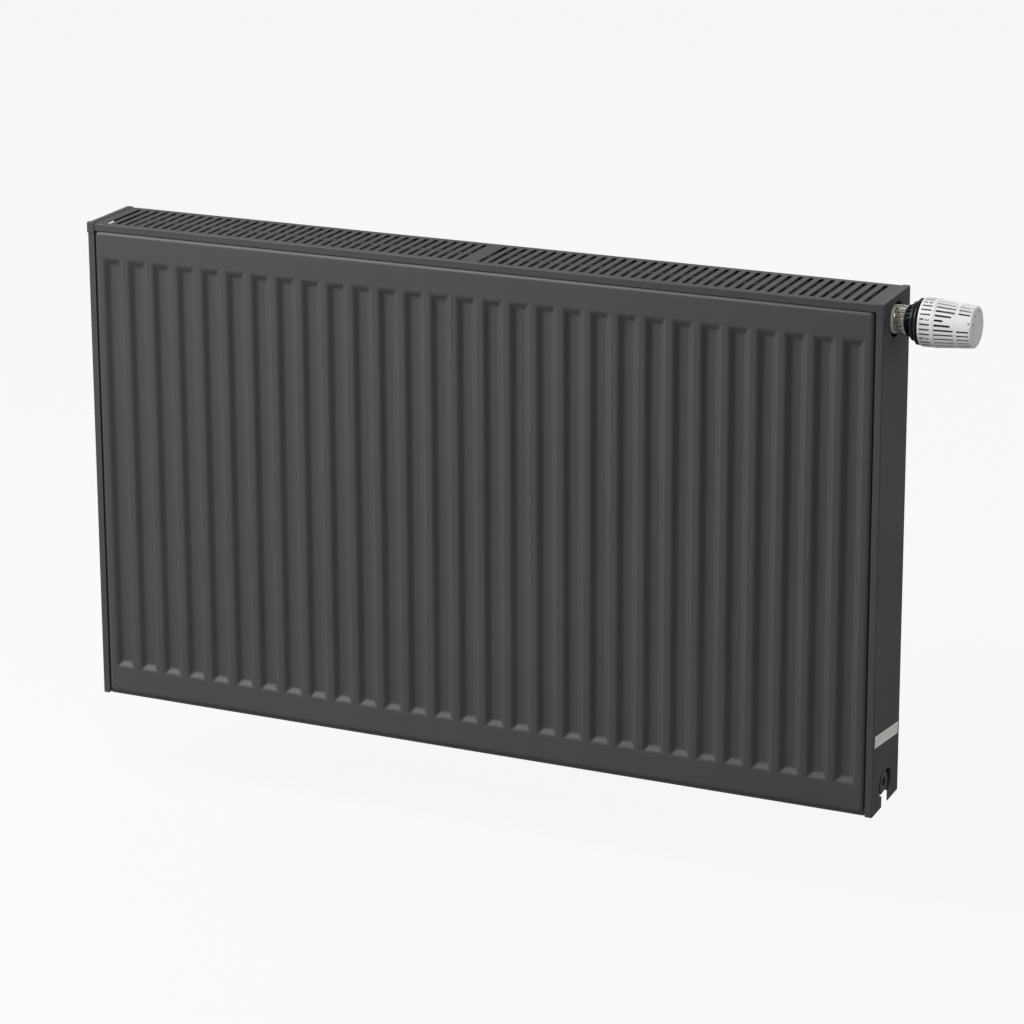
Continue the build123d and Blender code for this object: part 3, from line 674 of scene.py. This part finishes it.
@dataclass
class PressedSheet:
    """The outer sheet of a water panel, pressed with a row of long grooves."""

    name: str
    node: str
    inward: int
    grooves: int = 29
    pitch: float = 1.0 / 30
    mouth: float = 23.5 * MM
    floor: float = 12.5 * MM
    mouth_length: float = 520 * MM
    floor_length: float = 505 * MM
    depth: float = 5 * MM
    thickness: float = 1.2 * MM
    fold: float = 4.7 * MM
    corner: float = 6 * MM
    press_radius: float = 2.1 * MM
    half_length: float = 490 * MM

    def build(self) -> Workpiece:
        """Presses one groove, repeats it, and folds the field's edge back to the seam.

        Returns:
            The sheet.
        """
        low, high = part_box(self.node)
        self.face_y = low.y if self.inward > 0 else high.y
        self.middle_z = (low.z + high.z) / 2
        self.half_height = (high.z - low.z) / 2 - self.depth
        sheet = self.groove_tile()
        sheet.repeat(self.grooves, self.pitch)
        with sheet.shaping():
            self.widen(sheet)
            self.fold_back(sheet, (high.x - low.x) / 2)
        sheet.thicken(self.thickness)
        return sheet.dress(PANEL_PAINT, "radiator", (self.node,), smooth=40.0)

    def groove_tile(self) -> Workpiece:
        """One groove in its share of the field.

        Returns:
            The tile, at the place of the first groove.
        """
        centre = Vector((-0.5 + self.pitch, self.face_y, self.middle_z))
        half = Vector((self.pitch / 2, 0, self.half_height))
        facing = Facing.FRONT if self.inward > 0 else Facing.BACK
        tile = blank(self.name, centre - half, centre + half, facing)
        with tile.shaping():
            for way in (-1, 1):
                tile.cut(centre + Vector((way * self.mouth / 2, 0, 0)), (1, 0, 0))
                tile.cut(centre + Vector((0, 0, way * self.mouth_length / 2)), (0, 0, 1))
            tile.pick(Part.FACES, lambda f: (f.calc_center_median() - centre).length < MM)
            tile.pull(Part.FACES, (0, self.inward * self.depth, 0))
            shrink = (self.floor / self.mouth, 1, self.floor_length / self.mouth_length)
            bpy.ops.transform.resize(value=shrink, center_override=centre)
            tile.pick(Part.EDGES, lambda e: self.is_pressed(e, centre))
            bpy.ops.mesh.bevel(offset=self.press_radius, segments=4, affect="EDGES")
        return tile

    def is_pressed(self, edge: bmesh.types.BMEdge, centre: Vector) -> bool:
        """Whether an edge lies on the groove's mouth, its floor or one of its slanting corners."""
        offset = middle(edge) - centre
        inside_x = abs(offset.x) < self.mouth / 2 + SNAP
        inside_z = abs(offset.z) < self.mouth_length / 2 + SNAP
        return inside_x and inside_z

    def widen(self, sheet: Workpiece) -> None:
        """Runs the field on to both ends and rounds its four corners."""
        for way in (-1, 1):
            end = way * self.grooves / 2 * self.pitch
            sheet.pick(Part.EDGES, lambda e: abs(middle(e).x - end) < SNAP and e.is_boundary)
            sheet.pull(Part.EDGES, (way * self.half_length - end, 0, 0))
        sheet.pick(
            Part.POINTS,
            lambda v: abs(abs(v.co.x) - self.half_length) < SNAP
            and abs(abs(v.co.z - self.middle_z) - self.half_height) < SNAP,
        )
        bpy.ops.mesh.bevel(offset=self.corner, segments=5, affect="VERTICES")

    def fold_back(self, sheet: Workpiece, seam_half_length: float) -> None:
        """Folds the field's edge back to the seam's plane and turns the seam flange out."""
        middle_point = Vector((0, self.face_y, self.middle_z))
        sheet.pick(Part.EDGES, lambda e: e.is_boundary)
        sheet.pull(Part.EDGES, (0, self.inward * self.depth, 0))
        sheet.pull(Part.EDGES, (0, 0, 0))
        seam_half_height = self.half_height + self.depth
        grow = (seam_half_length / self.half_length, 1, seam_half_height / self.half_height)
        bpy.ops.transform.resize(value=grow, center_override=middle_point)
        sheet.pick(Part.EDGES, lambda e: self.is_fold(e))
        bpy.ops.mesh.bevel(offset=self.fold, segments=6, affect="EDGES")

    def is_fold(self, edge: bmesh.types.BMEdge) -> bool:
        """Whether an edge joins the flat field to the wall that goes back to the seam."""
        if len(edge.link_faces) != 2 or abs(middle(edge).y - self.face_y) > SNAP:
            return False
        tilts = sorted(abs(face.normal.y) for face in edge.link_faces)
        return tilts[0] < 0.1 and tilts[1] > 0.9


# ------------------------------------------------------------------ casing


@dataclass
class TopGrille:
    """The folded top sheet with a row of crosswise slots in each half."""

    slots: int = 38
    pitch: float = 12.5 * MM
    first: float = 13.25 * MM
    slot_width: float = 5.5 * MM
    slot_length: float = 79 * MM
    slot_setback: float = 46.5 * MM
    flange_end: float = 491 * MM
    thickness: float = 1 * MM
    fold: float = 1.4 * MM

    def build(self) -> Workpiece:
        """Punches one slot, repeats it, and folds the sheet's two long edges down.

        Returns:
            The grille.
        """
        low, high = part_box("top_grille")
        grille = self.slot_tile(low, high)
        grille.repeat(self.slots, self.pitch)
        inner = self.first - self.pitch / 2
        outer = inner + self.slots * self.pitch
        with grille.shaping():
            for start, stops in ((inner, (0.0,)), (outer, (self.flange_end, high.x))):
                for stop in stops:
                    grille.pick(
                        Part.EDGES, lambda e: e.is_boundary and abs(middle(e).x - start) < SNAP
                    )
                    grille.pull(Part.EDGES, (stop - start, 0, 0))
                    start = stop
        grille.modify("MIRROR", use_axis=(True, False, False), merge_threshold=0.05 * MM)
        with grille.shaping():
            grille.pick(
                Part.EDGES,
                lambda e: e.is_boundary and abs(middle(e).x) < self.flange_end
                and min(abs(middle(e).y - low.y), abs(middle(e).y - high.y)) < SNAP,
            )
            grille.pull(Part.EDGES, (0, 0, low.z - high.z))
            grille.face_towards((0, 0, 1))
            grille.pick(Part.EDGES, lambda e: self.is_fold(e, low.y, high.y, high.z))
            bpy.ops.mesh.bevel(offset=self.fold, segments=4, affect="EDGES")
        grille.thicken(self.thickness)
        grille.soften(0.25 * MM, 2, 60)
        return grille.dress(CASING_PAINT, "radiator", ("top_grille",))

    def slot_tile(self, low: Vector, high: Vector) -> Workpiece:
        """One slot in its share of the sheet: the slot's rim bridged to the tile's edge.

        Args:
            low: the grille's lowest corner.
            high: the grille's highest corner.

        Returns:
            The tile, at the place of the first slot.
        """
        half = self.pitch / 2
        tile = blank(
            "casing_top_grille", Vector((self.first - half, low.y, high.z)),
            Vector((self.first + half, high.y, high.z)), Facing.TOP,
        )
        with tile.shaping():
            bpy.ops.mesh.delete(type="ONLY_FACE")
            pick_all()
            bpy.ops.mesh.subdivide(number_cuts=5)
        sides = 24
        middle_y = low.y + self.slot_setback
        clear_bench()
        bpy.ops.mesh.primitive_circle_add(
            vertices=sides, radius=self.slot_width / 2, location=(self.first, middle_y, high.z),
            rotation=(0, 0, math.pi / sides),
        )
        rim = Workpiece("slot_rim")
        spread = (self.slot_length - self.slot_width) / 2
        with rim.shaping():
            for way in (-1, 1):
                rim.pick(Part.POINTS, lambda v: way * (v.co.y - middle_y) > 0)
                bpy.ops.transform.translate(value=(0, way * spread, 0))
        tile.join(rim)
        with tile.shaping():
            bpy.context.tool_settings.mesh_select_mode = Part.EDGES.value
            pick_all()
            bpy.ops.mesh.bridge_edge_loops()
        return tile

    def is_fold(self, edge: bmesh.types.BMEdge, front: float, back: float, top: float) -> bool:
        """Whether an edge is one of the two long folds."""
        place = middle(edge)
        at_side = min(abs(place.y - front), abs(place.y - back)) < SNAP
        on_line = at_side and abs(place.z - top) < SNAP
        return on_line and len(edge.link_faces) == 2 and abs(place.x) < self.flange_end


@dataclass
class SideCover:
    """A folded end sheet with openings for the side ports and a tab over the grille's end."""

    name: str
    node: str
    side: int
    flange: float = 8.5 * MM
    top_flange: float = 7.5 * MM
    thickness: float = 1 * MM
    fold: float = 1.1 * MM
    tab_height: float = 12.5 * MM
    tab_proud: float = 0.8 * MM
    tab_lift: float = 0.3 * MM
    tab_depth: float = 6 * MM
    port_height: float = 27 * MM
    upper_opening: tuple[float, float] = (19.5 * MM, 3.5 * MM)
    lower_opening: tuple[float, float] = (14 * MM, 8 * MM)
    notch: float = 22 * MM

    def build(self) -> Workpiece:
        """Folds the sheet, cuts its openings and adds the corner tab.

        Returns:
            The cover.
        """
        low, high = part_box(self.node)
        self.face = self.side * 0.5
        self.front = low.y + self.tab_proud
        self.back, self.bottom, self.top = high.y, low.z, high.z - self.tab_lift
        self.port_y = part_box("valve_collar")[0].y / 2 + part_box("valve_collar")[1].y / 2
        cover = self.folded_sheet()
        for cutter in self.cutters():
            cover.drill(cutter)
        cover.soften(0.22 * MM, 2, 60)
        cover.join(self.corner_tab())
        return cover.dress(CASING_PAINT, "radiator", (self.node,))

    def folded_sheet(self) -> Workpiece:
        """The end sheet with its front, back and top edges folded in.

        Returns:
            The sheet with its thickness.
        """
        facing = Facing.RIGHT if self.side > 0 else Facing.LEFT
        cover = blank(
            self.name, Vector((self.face, self.front, self.bottom)),
            Vector((self.face, self.back, self.top)), facing,
        )
        with cover.shaping():
            for y in (self.front, self.back):
                cover.pick(Part.EDGES, lambda e: abs(middle(e).y - y) < SNAP)
                cover.pull(Part.EDGES, (-self.side * self.flange, 0, 0))
            cover.pick(
                Part.EDGES,
                lambda e: abs(middle(e).z - self.top) < SNAP
                and abs(middle(e).x - self.face) < SNAP,
            )
            cover.pull(Part.EDGES, (-self.side * self.top_flange, 0, 0))
            cover.face_towards((self.side, 0, 0))
            cover.pick(
                Part.EDGES,
                lambda e: len(e.link_faces) == 2 and abs(middle(e).x - self.face) < SNAP,
            )
            bpy.ops.mesh.bevel(offset=self.fold, segments=4, affect="EDGES")
        return cover.thicken(self.thickness)

    def cutters(self) -> list[Workpiece]:
        """The shapes of the two port openings and of the notch below the lower one.

        Returns:
            One cutter for each.
        """
        depth = 12 * MM
        made = []
        heights = (self.top - self.port_height, self.bottom + self.port_height)
        for z, (radius, spread) in zip(heights, (self.upper_opening, self.lower_opening)):
            centre = Vector((self.face, self.port_y, z))
            made.append(capsule("opening_cutter", centre, radius, spread, depth, Facing.RIGHT))
        half = Vector((depth / 2, self.notch / 2, 0))
        foot = Vector((self.face, self.port_y, self.bottom - MM))
        head = Vector((self.face, self.port_y, heights[1]))
        made.append(block("notch_cutter", foot - half, head + half))
        return made

    def corner_tab(self) -> Workpiece:
        """The small folded tab that wraps the front top corner.

        Returns:
            The tab.
        """
        inner = self.face - self.side * self.flange
        outer = self.face + self.side * self.tab_proud
        low = Vector((min(inner, outer), self.front - self.tab_proud, self.top - self.tab_height))
        high = Vector((max(inner, outer), self.front + self.tab_depth, self.top + self.tab_lift))
        tab = block("corner_tab", low, high)
        with tab.shaping():
            tab.pick(
                Part.FACES,
                lambda f: f.normal.z < -0.9 or f.normal.y > 0.9 or f.normal.x * self.side < -0.9,
            )
            bpy.ops.mesh.delete(type="FACE")
            tab.pick(Part.EDGES, lambda e: len(e.link_faces) == 2)
            bpy.ops.mesh.bevel(offset=0.8 * MM, segments=4, affect="EDGES")
        tab.thicken(self.tab_proud)
        return tab.soften(0.2 * MM, 2, 60)


@dataclass
class RatingLabel:
    """The blank film label that is stuck on the right cover, slightly askew."""

    length: float = 84 * MM
    height: float = 13.5 * MM
    thickness: float = 0.15 * MM
    border: float = 1.3 * MM
    askew: float = 7.5

    def build(self) -> Workpiece:
        """Makes the film with its paler border.

        Returns:
            The label.
        """
        low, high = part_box("rating_label")
        centre = (low + high) / 2
        centre.x = high.x
        half = Vector((0, self.length / 2, self.height / 2))
        label = blank("blank_rating_label", centre - half, centre + half, Facing.RIGHT)
        with label.shaping():
            label.pick(Part.FACES, lambda f: True)
            bpy.ops.mesh.inset(thickness=self.border, depth=0.0)
            pick_all()
            lean = math.radians(self.askew)
            bpy.ops.transform.rotate(value=lean, orient_axis="X", center_override=centre)
        label.modify("SOLIDIFY", thickness=self.thickness, offset=-1.0)
        label.dress(LABEL_BORDER, "radiator", ("rating_label",))
        label.obj.data.materials.append(LABEL_FILM.material())
        for face in label.obj.data.polygons:
            in_border = (face.center - centre).length > MM or face.normal.x < 0.9
            face.material_index = 0 if in_border else 1
        return label


# ------------------------------------------------------------------ thermostatic head


@dataclass
class ThermostaticHead:
    """The head on the valve: collar, union nut, ribbed base, scale ring and handwheel.

    Outlines are (distance from the cover, radius) in millimetres.
    """

    station: Station
    patch_angle: float = 21.0
    slot_pitch: float = 12.0
    slot_half_angle: float = 2.5
    first_row: tuple[float, float] = (50.2, 72.0)
    second_row: tuple[float, float] = (75.4, 89.2)
    foot: tuple[float, float] = (49.4, 27.0)
    tip: tuple[float, float] = (89.8, 23.6)
    end_face: tuple[float, float] = (94.4, 11.0)
    wheel_wall: float = 2.0
    flutes: int = 18
    ribs: int = 20
    ring_radius: float = 27.0
    number_step: float = 48.0
    mark_start: float = 34.0
    mark_end: float = 45.4
    number_mark_end: float = 38.4
    mark_width: float = 1.9
    ink: float = 0.06
    number_foot: float = 40.2
    number_size: float = 6.2 * MM
    dot_distance: float = 88.2
    end_hole: tuple[float, float] = (40.0, 52.0)
    short_slot_end: float = 60.0
    long_slot_end: float = 68.5

    def build(self) -> None:
        """Builds every piece of the head that can be seen."""
        self.collar()
        self.union_nut()
        self.base()
        self.scale_ring()
        self.scale_marks()
        self.numerals()
        self.handwheel()
        self.index_dot()

    def collar(self) -> Workpiece:
        """The ivory collar between the tee and the nut."""
        outline = [(-3.3, 13.6), (-3.3, 15.6), (-2.4, 16.2), (0.6, 16.2), (1.5, 15.6), (1.5, 13.6)]
        collar = turned("ivory_valve_collar", outline, self.station)
        collar.soften(0.3 * MM, 3)
        return collar.dress(IVORY_PLASTIC, "radiator", ("valve_collar",))

    def union_nut(self) -> Workpiece:
        """The fluted nut: columns of points are drawn in towards the axis to make its flutes.

        Returns:
            The nut.
        """
        outline = [
            (1.6, 14.05), (1.6, 15.7), (2.6, 16.3), (3.2, 16.3), (4.0, 16.3), (11.8, 16.3),
            (12.4, 16.0), (13.2, 15.4), (13.2, 11.2), (8.2, 11.2), (8.2, 14.05),
        ]
        columns = 8
        nut = turned("fluted_union_nut", outline, self.station, steps=self.flutes * columns)
        step = 360 / (self.flutes * columns)
        depths = {0: 0.93, 1: 0.938, 2: 0.962, 3: 0.992}
        with nut.shaping():
            for column, shrink in depths.items():
                nut.pick(Part.POINTS, lambda v: self.in_flute(v.co, column * step, step))
                bpy.ops.transform.resize(
                    value=(1, shrink, shrink), center_override=self.station.origin
                )
        return nut.dress(NICKEL, "radiator", ("union_nut",))

    def in_flute(self, point: Vector, offset: float, step: float) -> bool:
        """Whether a point stands in a flute, that many degrees from the flute's middle."""
        distance, radius, angle = self.station.measure(point)
        pitch = 360 / self.flutes
        from_middle = abs((angle + pitch / 2) % pitch - pitch / 2)
        return 3.9 < distance < 13.5 and radius > 15 and abs(from_middle - offset) < step / 3

    def base(self) -> Workpiece:
        """The black base with its ribbed cone, its two discs and the guide sleeve.

        Returns:
            The base.
        """
        outline = [
            (6.1, 4.0), (6.1, 13.8), (8.1, 13.8), (8.1, 11.1), (13.5, 11.1), (13.5, 14.2),
            (20.6, 15.4), (21.0, 22.0), (23.8, 22.0), (24.2, 20.2), (26.4, 20.2), (26.8, 26.0),
            (29.0, 26.0), (29.0, 20.6), (42.0, 20.6), (42.0, 18.6), (24.2, 18.6), (24.2, 12.0),
            (16.0, 12.0), (16.0, 4.0),
        ]
        base = turned("black_head_base", outline, self.station, steps=120)
        base.soften(0.35 * MM, 3)
        rib = self.rib_plate()
        with rib.shaping():
            bpy.ops.mesh.spin(
                steps=self.ribs, dupli=True, angle=2 * math.pi, center=self.station.origin,
                axis=(1, 0, 0),
            )
            pick_all()
            bpy.ops.mesh.remove_doubles(threshold=0.001 * MM)
        rib.soften(0.25 * MM, 2)
        base.join(rib)
        return base.dress(BLACK_PLASTIC, "radiator", ("head_base",))

    def rib_plate(self) -> Workpiece:
        """One rib of the base's cone, as a plate across the axis's plane.

        Returns:
            The rib.
        """
        outline = [(13.6, 13.6), (14.0, 17.0), (21.1, 19.8), (21.1, 13.6)]
        half = 0.75 * MM
        lift = Vector((0, 0, half))
        rib = drawn("base_rib", [self.station.place(a, r) + lift for a, r in outline])
        with rib.shaping():
            bpy.ops.mesh.edge_face_add()
            rib.pull(Part.FACES, (0, 0, -2 * half))
            turn_outward()
        return rib

    def scale_ring(self) -> Workpiece:
        """The white ring under the numbers."""
        outline = [
            (31.2, 24.2), (31.2, 26.1), (32.4, 27.0), (47.4, 27.0), (47.8, 26.7), (47.8, 24.2),
        ]
        ring = turned("white_scale_ring", outline, self.station, steps=120)
        ring.soften(0.25 * MM, 2)
        return ring.dress(WHITE_PLASTIC, "handwheel", ("scale_ring",))

    def angle_of(self, number: int) -> float:
        """The angle at which a number stands. The middle number is in line with the patch."""
        return self.patch_angle + (number - 3) * self.number_step

    def scale_marks(self) -> Workpiece:
        """The printed marks: one long mark each pitch from nought to five, shorter at a number.

        Returns:
            The marks.
        """
        count = round((self.angle_of(5) - self.angle_of(0)) / self.slot_pitch)
        half = Vector((0, 0, self.mark_width / 2 * MM))
        low = self.station.place(self.mark_start, self.ring_radius + self.ink) - half
        high = self.station.place(self.mark_end, self.ring_radius - self.ink) + half
        marks = block("scale_marks", low, high)
        with marks.shaping():
            self.turn_selected(math.radians(self.angle_of(0)))
            bpy.ops.mesh.spin(
                steps=count, dupli=True, angle=math.radians(self.slot_pitch * count),
                center=self.station.origin, axis=(1, 0, 0),
            )
            numbers = [self.angle_of(number) for number in range(6)]
            marks.pick(Part.POINTS, lambda v: self.ends_number_mark(v.co, numbers))
            bpy.ops.transform.translate(value=((self.number_mark_end - self.mark_end) * MM, 0, 0))
        marks.soften(0.03 * MM, 1)
        return marks.dress(PRINT_INK, "handwheel")

    def turn_selected(self, angle: float) -> None:
        """Turns what is selected about the head's axis, upwards at the front if positive."""
        bpy.ops.transform.rotate(
            value=angle, orient_axis="X", center_override=self.station.origin
        )

    def ends_number_mark(self, point: Vector, numbers: list[float]) -> bool:
        """Whether a point is on the outer end of a mark that stands at a number."""
        distance, _, angle = self.station.measure(point)
        near = any(abs((angle - number + 180) % 360 - 180) < 3 for number in numbers)
        return near and distance > self.mark_end - 1

    def numerals(self) -> None:
        """The printed numbers, upright with the head's end face on top."""
        for number in range(6):
            clear_bench()
            bpy.ops.object.text_add()
            text = bpy.context.object
            text.data.body = str(number)
            text.data.size = self.number_size
            text.data.align_x = "CENTER"
            text.data.extrude = self.ink * MM
            text.data.offset = 0.12 * MM
            text.data.resolution_u = 4
            bpy.ops.object.convert(target="MESH")
            digit = Workpiece(f"scale_number_{number}")
            turn = math.radians(self.angle_of(number))
            outward = Vector((0, -math.cos(turn), math.sin(turn)))
            upright = Vector((1, 0, 0))
            across = upright.cross(outward)
            place = self.station.place(self.number_foot, self.ring_radius, self.angle_of(number))
            digit.obj.matrix_world = Matrix.Translation(place) @ Matrix(
                (across, upright, outward)
            ).transposed().to_4x4()
            digit.settle()
            digit.dress(PRINT_INK, "handwheel")

    def taper(self, distance: float) -> tuple[float, float]:
        """The point of the wheel's tapered wall at a distance."""
        share = (distance - self.foot[0]) / (self.tip[0] - self.foot[0])
        return distance, self.foot[1] + share * (self.tip[1] - self.foot[1])

    def handwheel(self) -> Workpiece:
        """The white handwheel: a turned shell with rows of slots and a ring of end holes.

        Returns:
            The handwheel.
        """
        long_end, short_end = self.long_slot_end, self.short_slot_end
        stations = (*self.first_row, *self.second_row, short_end, long_end)
        outline = [(47.9, 24.4), (47.9, 27.0), (48.2, 27.3), (49.1, 27.3), self.foot]
        outline += [self.taper(distance) for distance in sorted(stations)]
        across = self.end_face[0] - self.tip[0]
        drop = self.tip[1] - self.end_face[1]
        for degrees in (0, 10, 20, 30, *self.end_hole, 61, 70, 80, 90):
            turn = math.radians(degrees)
            rise, inset = across * math.sin(turn), drop * math.cos(turn)
            outline.append((self.tip[0] + rise, self.end_face[1] + inset))
        outline += [(self.end_face[0], 5.0), (self.end_face[0], 0.0)]
        wheel = turned(
            "white_handwheel", outline, self.station, steps=360,
            degrees=self.patch_angle + 0.5, closed=False,
        )
        holes = [self.tip[0] + across * math.sin(math.radians(d)) for d in self.end_hole]
        ends = {-1: long_end, 0: short_end, 1: long_end}
        with wheel.shaping():
            wheel.pick(Part.FACES, lambda f: self.in_opening(f.calc_center_median(), holes, ends))
            bpy.ops.mesh.delete(type="FACE")
            turn_outward()
            for way, row_ends in self.slot_ends(ends).items():
                wheel.pick(Part.POINTS, lambda v: self.is_slot_corner(v, row_ends))
                bpy.ops.transform.translate(value=(way * 0.75 * MM, 0, 0))
        wheel.thicken(self.wheel_wall * MM)
        wheel.soften(0.28 * MM, 2, 50)
        return wheel.dress(WHITE_PLASTIC, "handwheel", ("handwheel",))

    def slot_number(self, angle: float) -> int:
        """Which slot position an angle is nearest to, counted from the patch."""
        count = round(360 / self.slot_pitch)
        number = round((angle - self.patch_angle) / self.slot_pitch) % count
        return number if number <= count // 2 else number - count

    def off_slot(self, angle: float, pitch: float) -> float:
        """How many degrees an angle is from the middle of the nearest slot or hole."""
        return abs((angle - self.patch_angle + pitch / 2) % pitch - pitch / 2)

    def in_opening(self, point: Vector, holes: list[float], ends: dict[int, float]) -> bool:
        """Whether a face of the shell has to go.

        Args:
            point: the face's centre.
            holes: the distances between which the end holes lie.
            ends: where the first row's slot ends for the slots that the patch cuts short.

        Returns:
            True inside a slot or an end hole.
        """
        distance, radius, angle = self.station.measure(point)
        if radius < self.end_face[1]:
            return False
        number = self.slot_number(angle)
        if self.off_slot(angle, self.slot_pitch) < self.slot_half_angle:
            if self.first_row[0] < distance < ends.get(number, self.first_row[1]):
                return True
            if number not in ends and self.second_row[0] < distance < self.second_row[1]:
                return True
        in_hole = self.off_slot(angle, 30.0) < self.slot_half_angle
        return in_hole and holes[0] < distance < holes[1]

    def slot_ends(self, ends: dict[int, float]) -> dict[int, list[float]]:
        """The distances of the slots' ends: those whose corners move outward, and inward."""
        inner = [self.first_row[0], self.second_row[0]]
        outer = [self.first_row[1], self.second_row[1], *ends.values()]
        return {1: inner, -1: outer}

    def is_slot_corner(self, point: bmesh.types.BMVert, row_ends: list[float]) -> bool:
        """Whether a point is a corner at the end of a slot, which is drawn in to round it."""
        distance, _, angle = self.station.measure(point.co)
        at_end = any(abs(distance - end) < 0.05 for end in row_ends)
        at_side = abs(self.off_slot(angle, self.slot_pitch) - self.slot_half_angle) < 0.3
        return at_end and at_side and point.is_boundary

    def index_dot(self) -> Workpiece:
        """The small printed dot on the smooth patch."""
        distance, radius = self.taper(self.dot_distance)
        place = self.station.place(distance, radius, self.patch_angle)
        slope = math.atan2(self.foot[1] - self.tip[1], self.tip[0] - self.foot[0])
        radial = self.station.place(0, 1, self.patch_angle) - self.station.origin
        normal = radial.normalized() * math.cos(slope) + Vector((1, 0, 0)) * math.sin(slope)
        turn = normal.to_track_quat("Z", "Y").to_euler()
        clear_bench()
        bpy.ops.mesh.primitive_cylinder_add(
            vertices=32, radius=MM, depth=0.16 * MM, location=place, rotation=turn
        )
        dot = Workpiece("index_dot")
        dot.soften(0.04 * MM, 2)
        return dot.dress(PRINT_INK, "handwheel")


# ------------------------------------------------------------------ the rest


def dress_cad_nodes() -> None:
    """Gives each plain solid that still shows its own finish."""
    slots = {part["node"]: part["material_slot"] for part in frame["record"]["subparts"]}
    for name, node in frame["nodes"].items():
        if not node.hide_render:
            node.data.materials.clear()
            node.data.materials.append(FINISHES[slots[name]].material())
            LOG.info("%s: carried over with %s", name, slots[name])


@dataclass
class Studio:
    """A pale floor, soft light and the camera."""

    floor_z: float = -0.42
    centre: Vector = Vector((0.0, -0.05, 0.0))
    camera_place: Vector = Vector((1.616, -3.596, 1.254))
    azimuth: float = 24.02
    elevation: float = 14.67
    roll: float = -0.22
    lens: float = 122.04
    shift_y: float = -0.2

    def build(self) -> None:
        """Sets up the whole studio."""
        self.floor()
        self.world()
        self.lamp("key_softbox", Vector((-3.0, -1.8, 1.9)), 1.4, 140.0)
        self.lamp("top_softbox", Vector((-0.45, -0.85, 1.3)), 0.8, 18.0)
        self.lamp("back_softbox", Vector((0.6, 2.8, 1.6)), 2.0, 26.0)
        self.lamp("end_softbox", Vector((2.6, -0.35, 0.9)), 1.2, 9.0)
        self.camera()
        view = bpy.context.scene.view_settings
        view.view_transform = "Standard"
        view.look = "None"

    def floor(self) -> None:
        """The pale floor, at a radiator's usual height above it."""
        clear_bench()
        bpy.ops.mesh.primitive_plane_add(size=60.0, location=(0, 0, self.floor_z))
        floor = bpy.context.object
        floor.name = "studio_floor"
        made = bpy.data.materials.new("studio_floor_finish")
        made.use_nodes = True
        graph = Graph(made.node_tree)
        matt = graph.add("ShaderNodeBsdfDiffuse", Color=(0.45, 0.45, 0.45, 1.0))
        glow = graph.add("ShaderNodeEmission", Color=(1.0, 1.0, 1.0, 1.0), Strength=1.0)
        seen = graph.add("ShaderNodeLightPath").outputs["Is Camera Ray"]
        share = graph.maths("MULTIPLY", seen, 0.9)
        mixed = graph.add(
            "ShaderNodeMixShader", _0=share, _1=matt.outputs[0], _2=glow.outputs[0]
        )
        graph.add("ShaderNodeOutputMaterial", Surface=mixed.outputs[0])
        floor.data.materials.append(made)

    def world(self) -> None:
        """A white surround that lights the object more softly than it shows."""
        world = bpy.data.worlds.new("studio_world")
        bpy.context.scene.world = world
        world.use_nodes = True
        graph = Graph(world.node_tree)
        seen = graph.add("ShaderNodeLightPath").outputs["Is Camera Ray"]
        strength = graph.add("ShaderNodeMapRange", Value=seen, _3=0.33, _4=1.02).outputs[0]
        light = graph.add("ShaderNodeBackground", Color=(1, 1, 1, 1), Strength=strength)
        graph.add("ShaderNodeOutputWorld", Surface=light.outputs[0])

    def lamp(self, name: str, place: Vector, size: float, watts: float) -> None:
        """A square softbox that looks at the object's centre."""
        light = bpy.data.lights.new(name, "AREA")
        light.shape = "SQUARE"
        light.size = size
        light.energy = watts
        lamp = bpy.data.objects.new(name, light)
        lamp.location = place
        lamp.rotation_euler = (self.centre - place).to_track_quat("-Z", "Y").to_euler()
        bpy.context.scene.collection.objects.link(lamp)

    def camera(self) -> None:
        """The camera: it stands to the right and looks slightly down."""
        yaw, pitch, roll = (math.radians(a) for a in (self.azimuth, self.elevation, self.roll))
        back = Vector(
            (math.sin(yaw) * math.cos(pitch), -math.cos(yaw) * math.cos(pitch), math.sin(pitch))
        )
        right = Vector((math.cos(yaw), math.sin(yaw), 0))
        up = back.cross(right)
        right, up = (
            right * math.cos(roll) + up * math.sin(roll),
            up * math.cos(roll) - right * math.sin(roll),
        )
        data = bpy.data.cameras.new("camera")
        data.lens = self.lens
        data.shift_y = self.shift_y
        camera = bpy.data.objects.new("camera", data)
        turn = Matrix((right, up, back)).transposed().to_4x4()
        camera.matrix_world = Matrix.Translation(self.camera_place) @ turn
        bpy.context.scene.collection.objects.link(camera)
        bpy.context.scene.camera = camera


def main() -> None:
    """Builds every sub-assembly in order, then the studio."""
    logging.basicConfig(level=logging.INFO, format="%(name)s: %(message)s")
    PressedSheet("front_panel_face", "front_panel_outer_sheet", 1).build()
    PressedSheet("rear_panel_face", "rear_panel_outer_sheet", -1).build()
    TopGrille().build()
    SideCover("left_cover_sheet", "left_side_cover", -1).build()
    SideCover("right_cover_sheet", "right_side_cover", 1).build()
    RatingLabel().build()
    collar_low, collar_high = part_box("valve_collar")
    axis = (collar_low + collar_high) / 2
    ThermostaticHead(Station(Vector((0.5, axis.y, axis.z)), 1)).build()
    dress_cad_nodes()
    Studio().build()


if __name__ == "__main__":
    main()
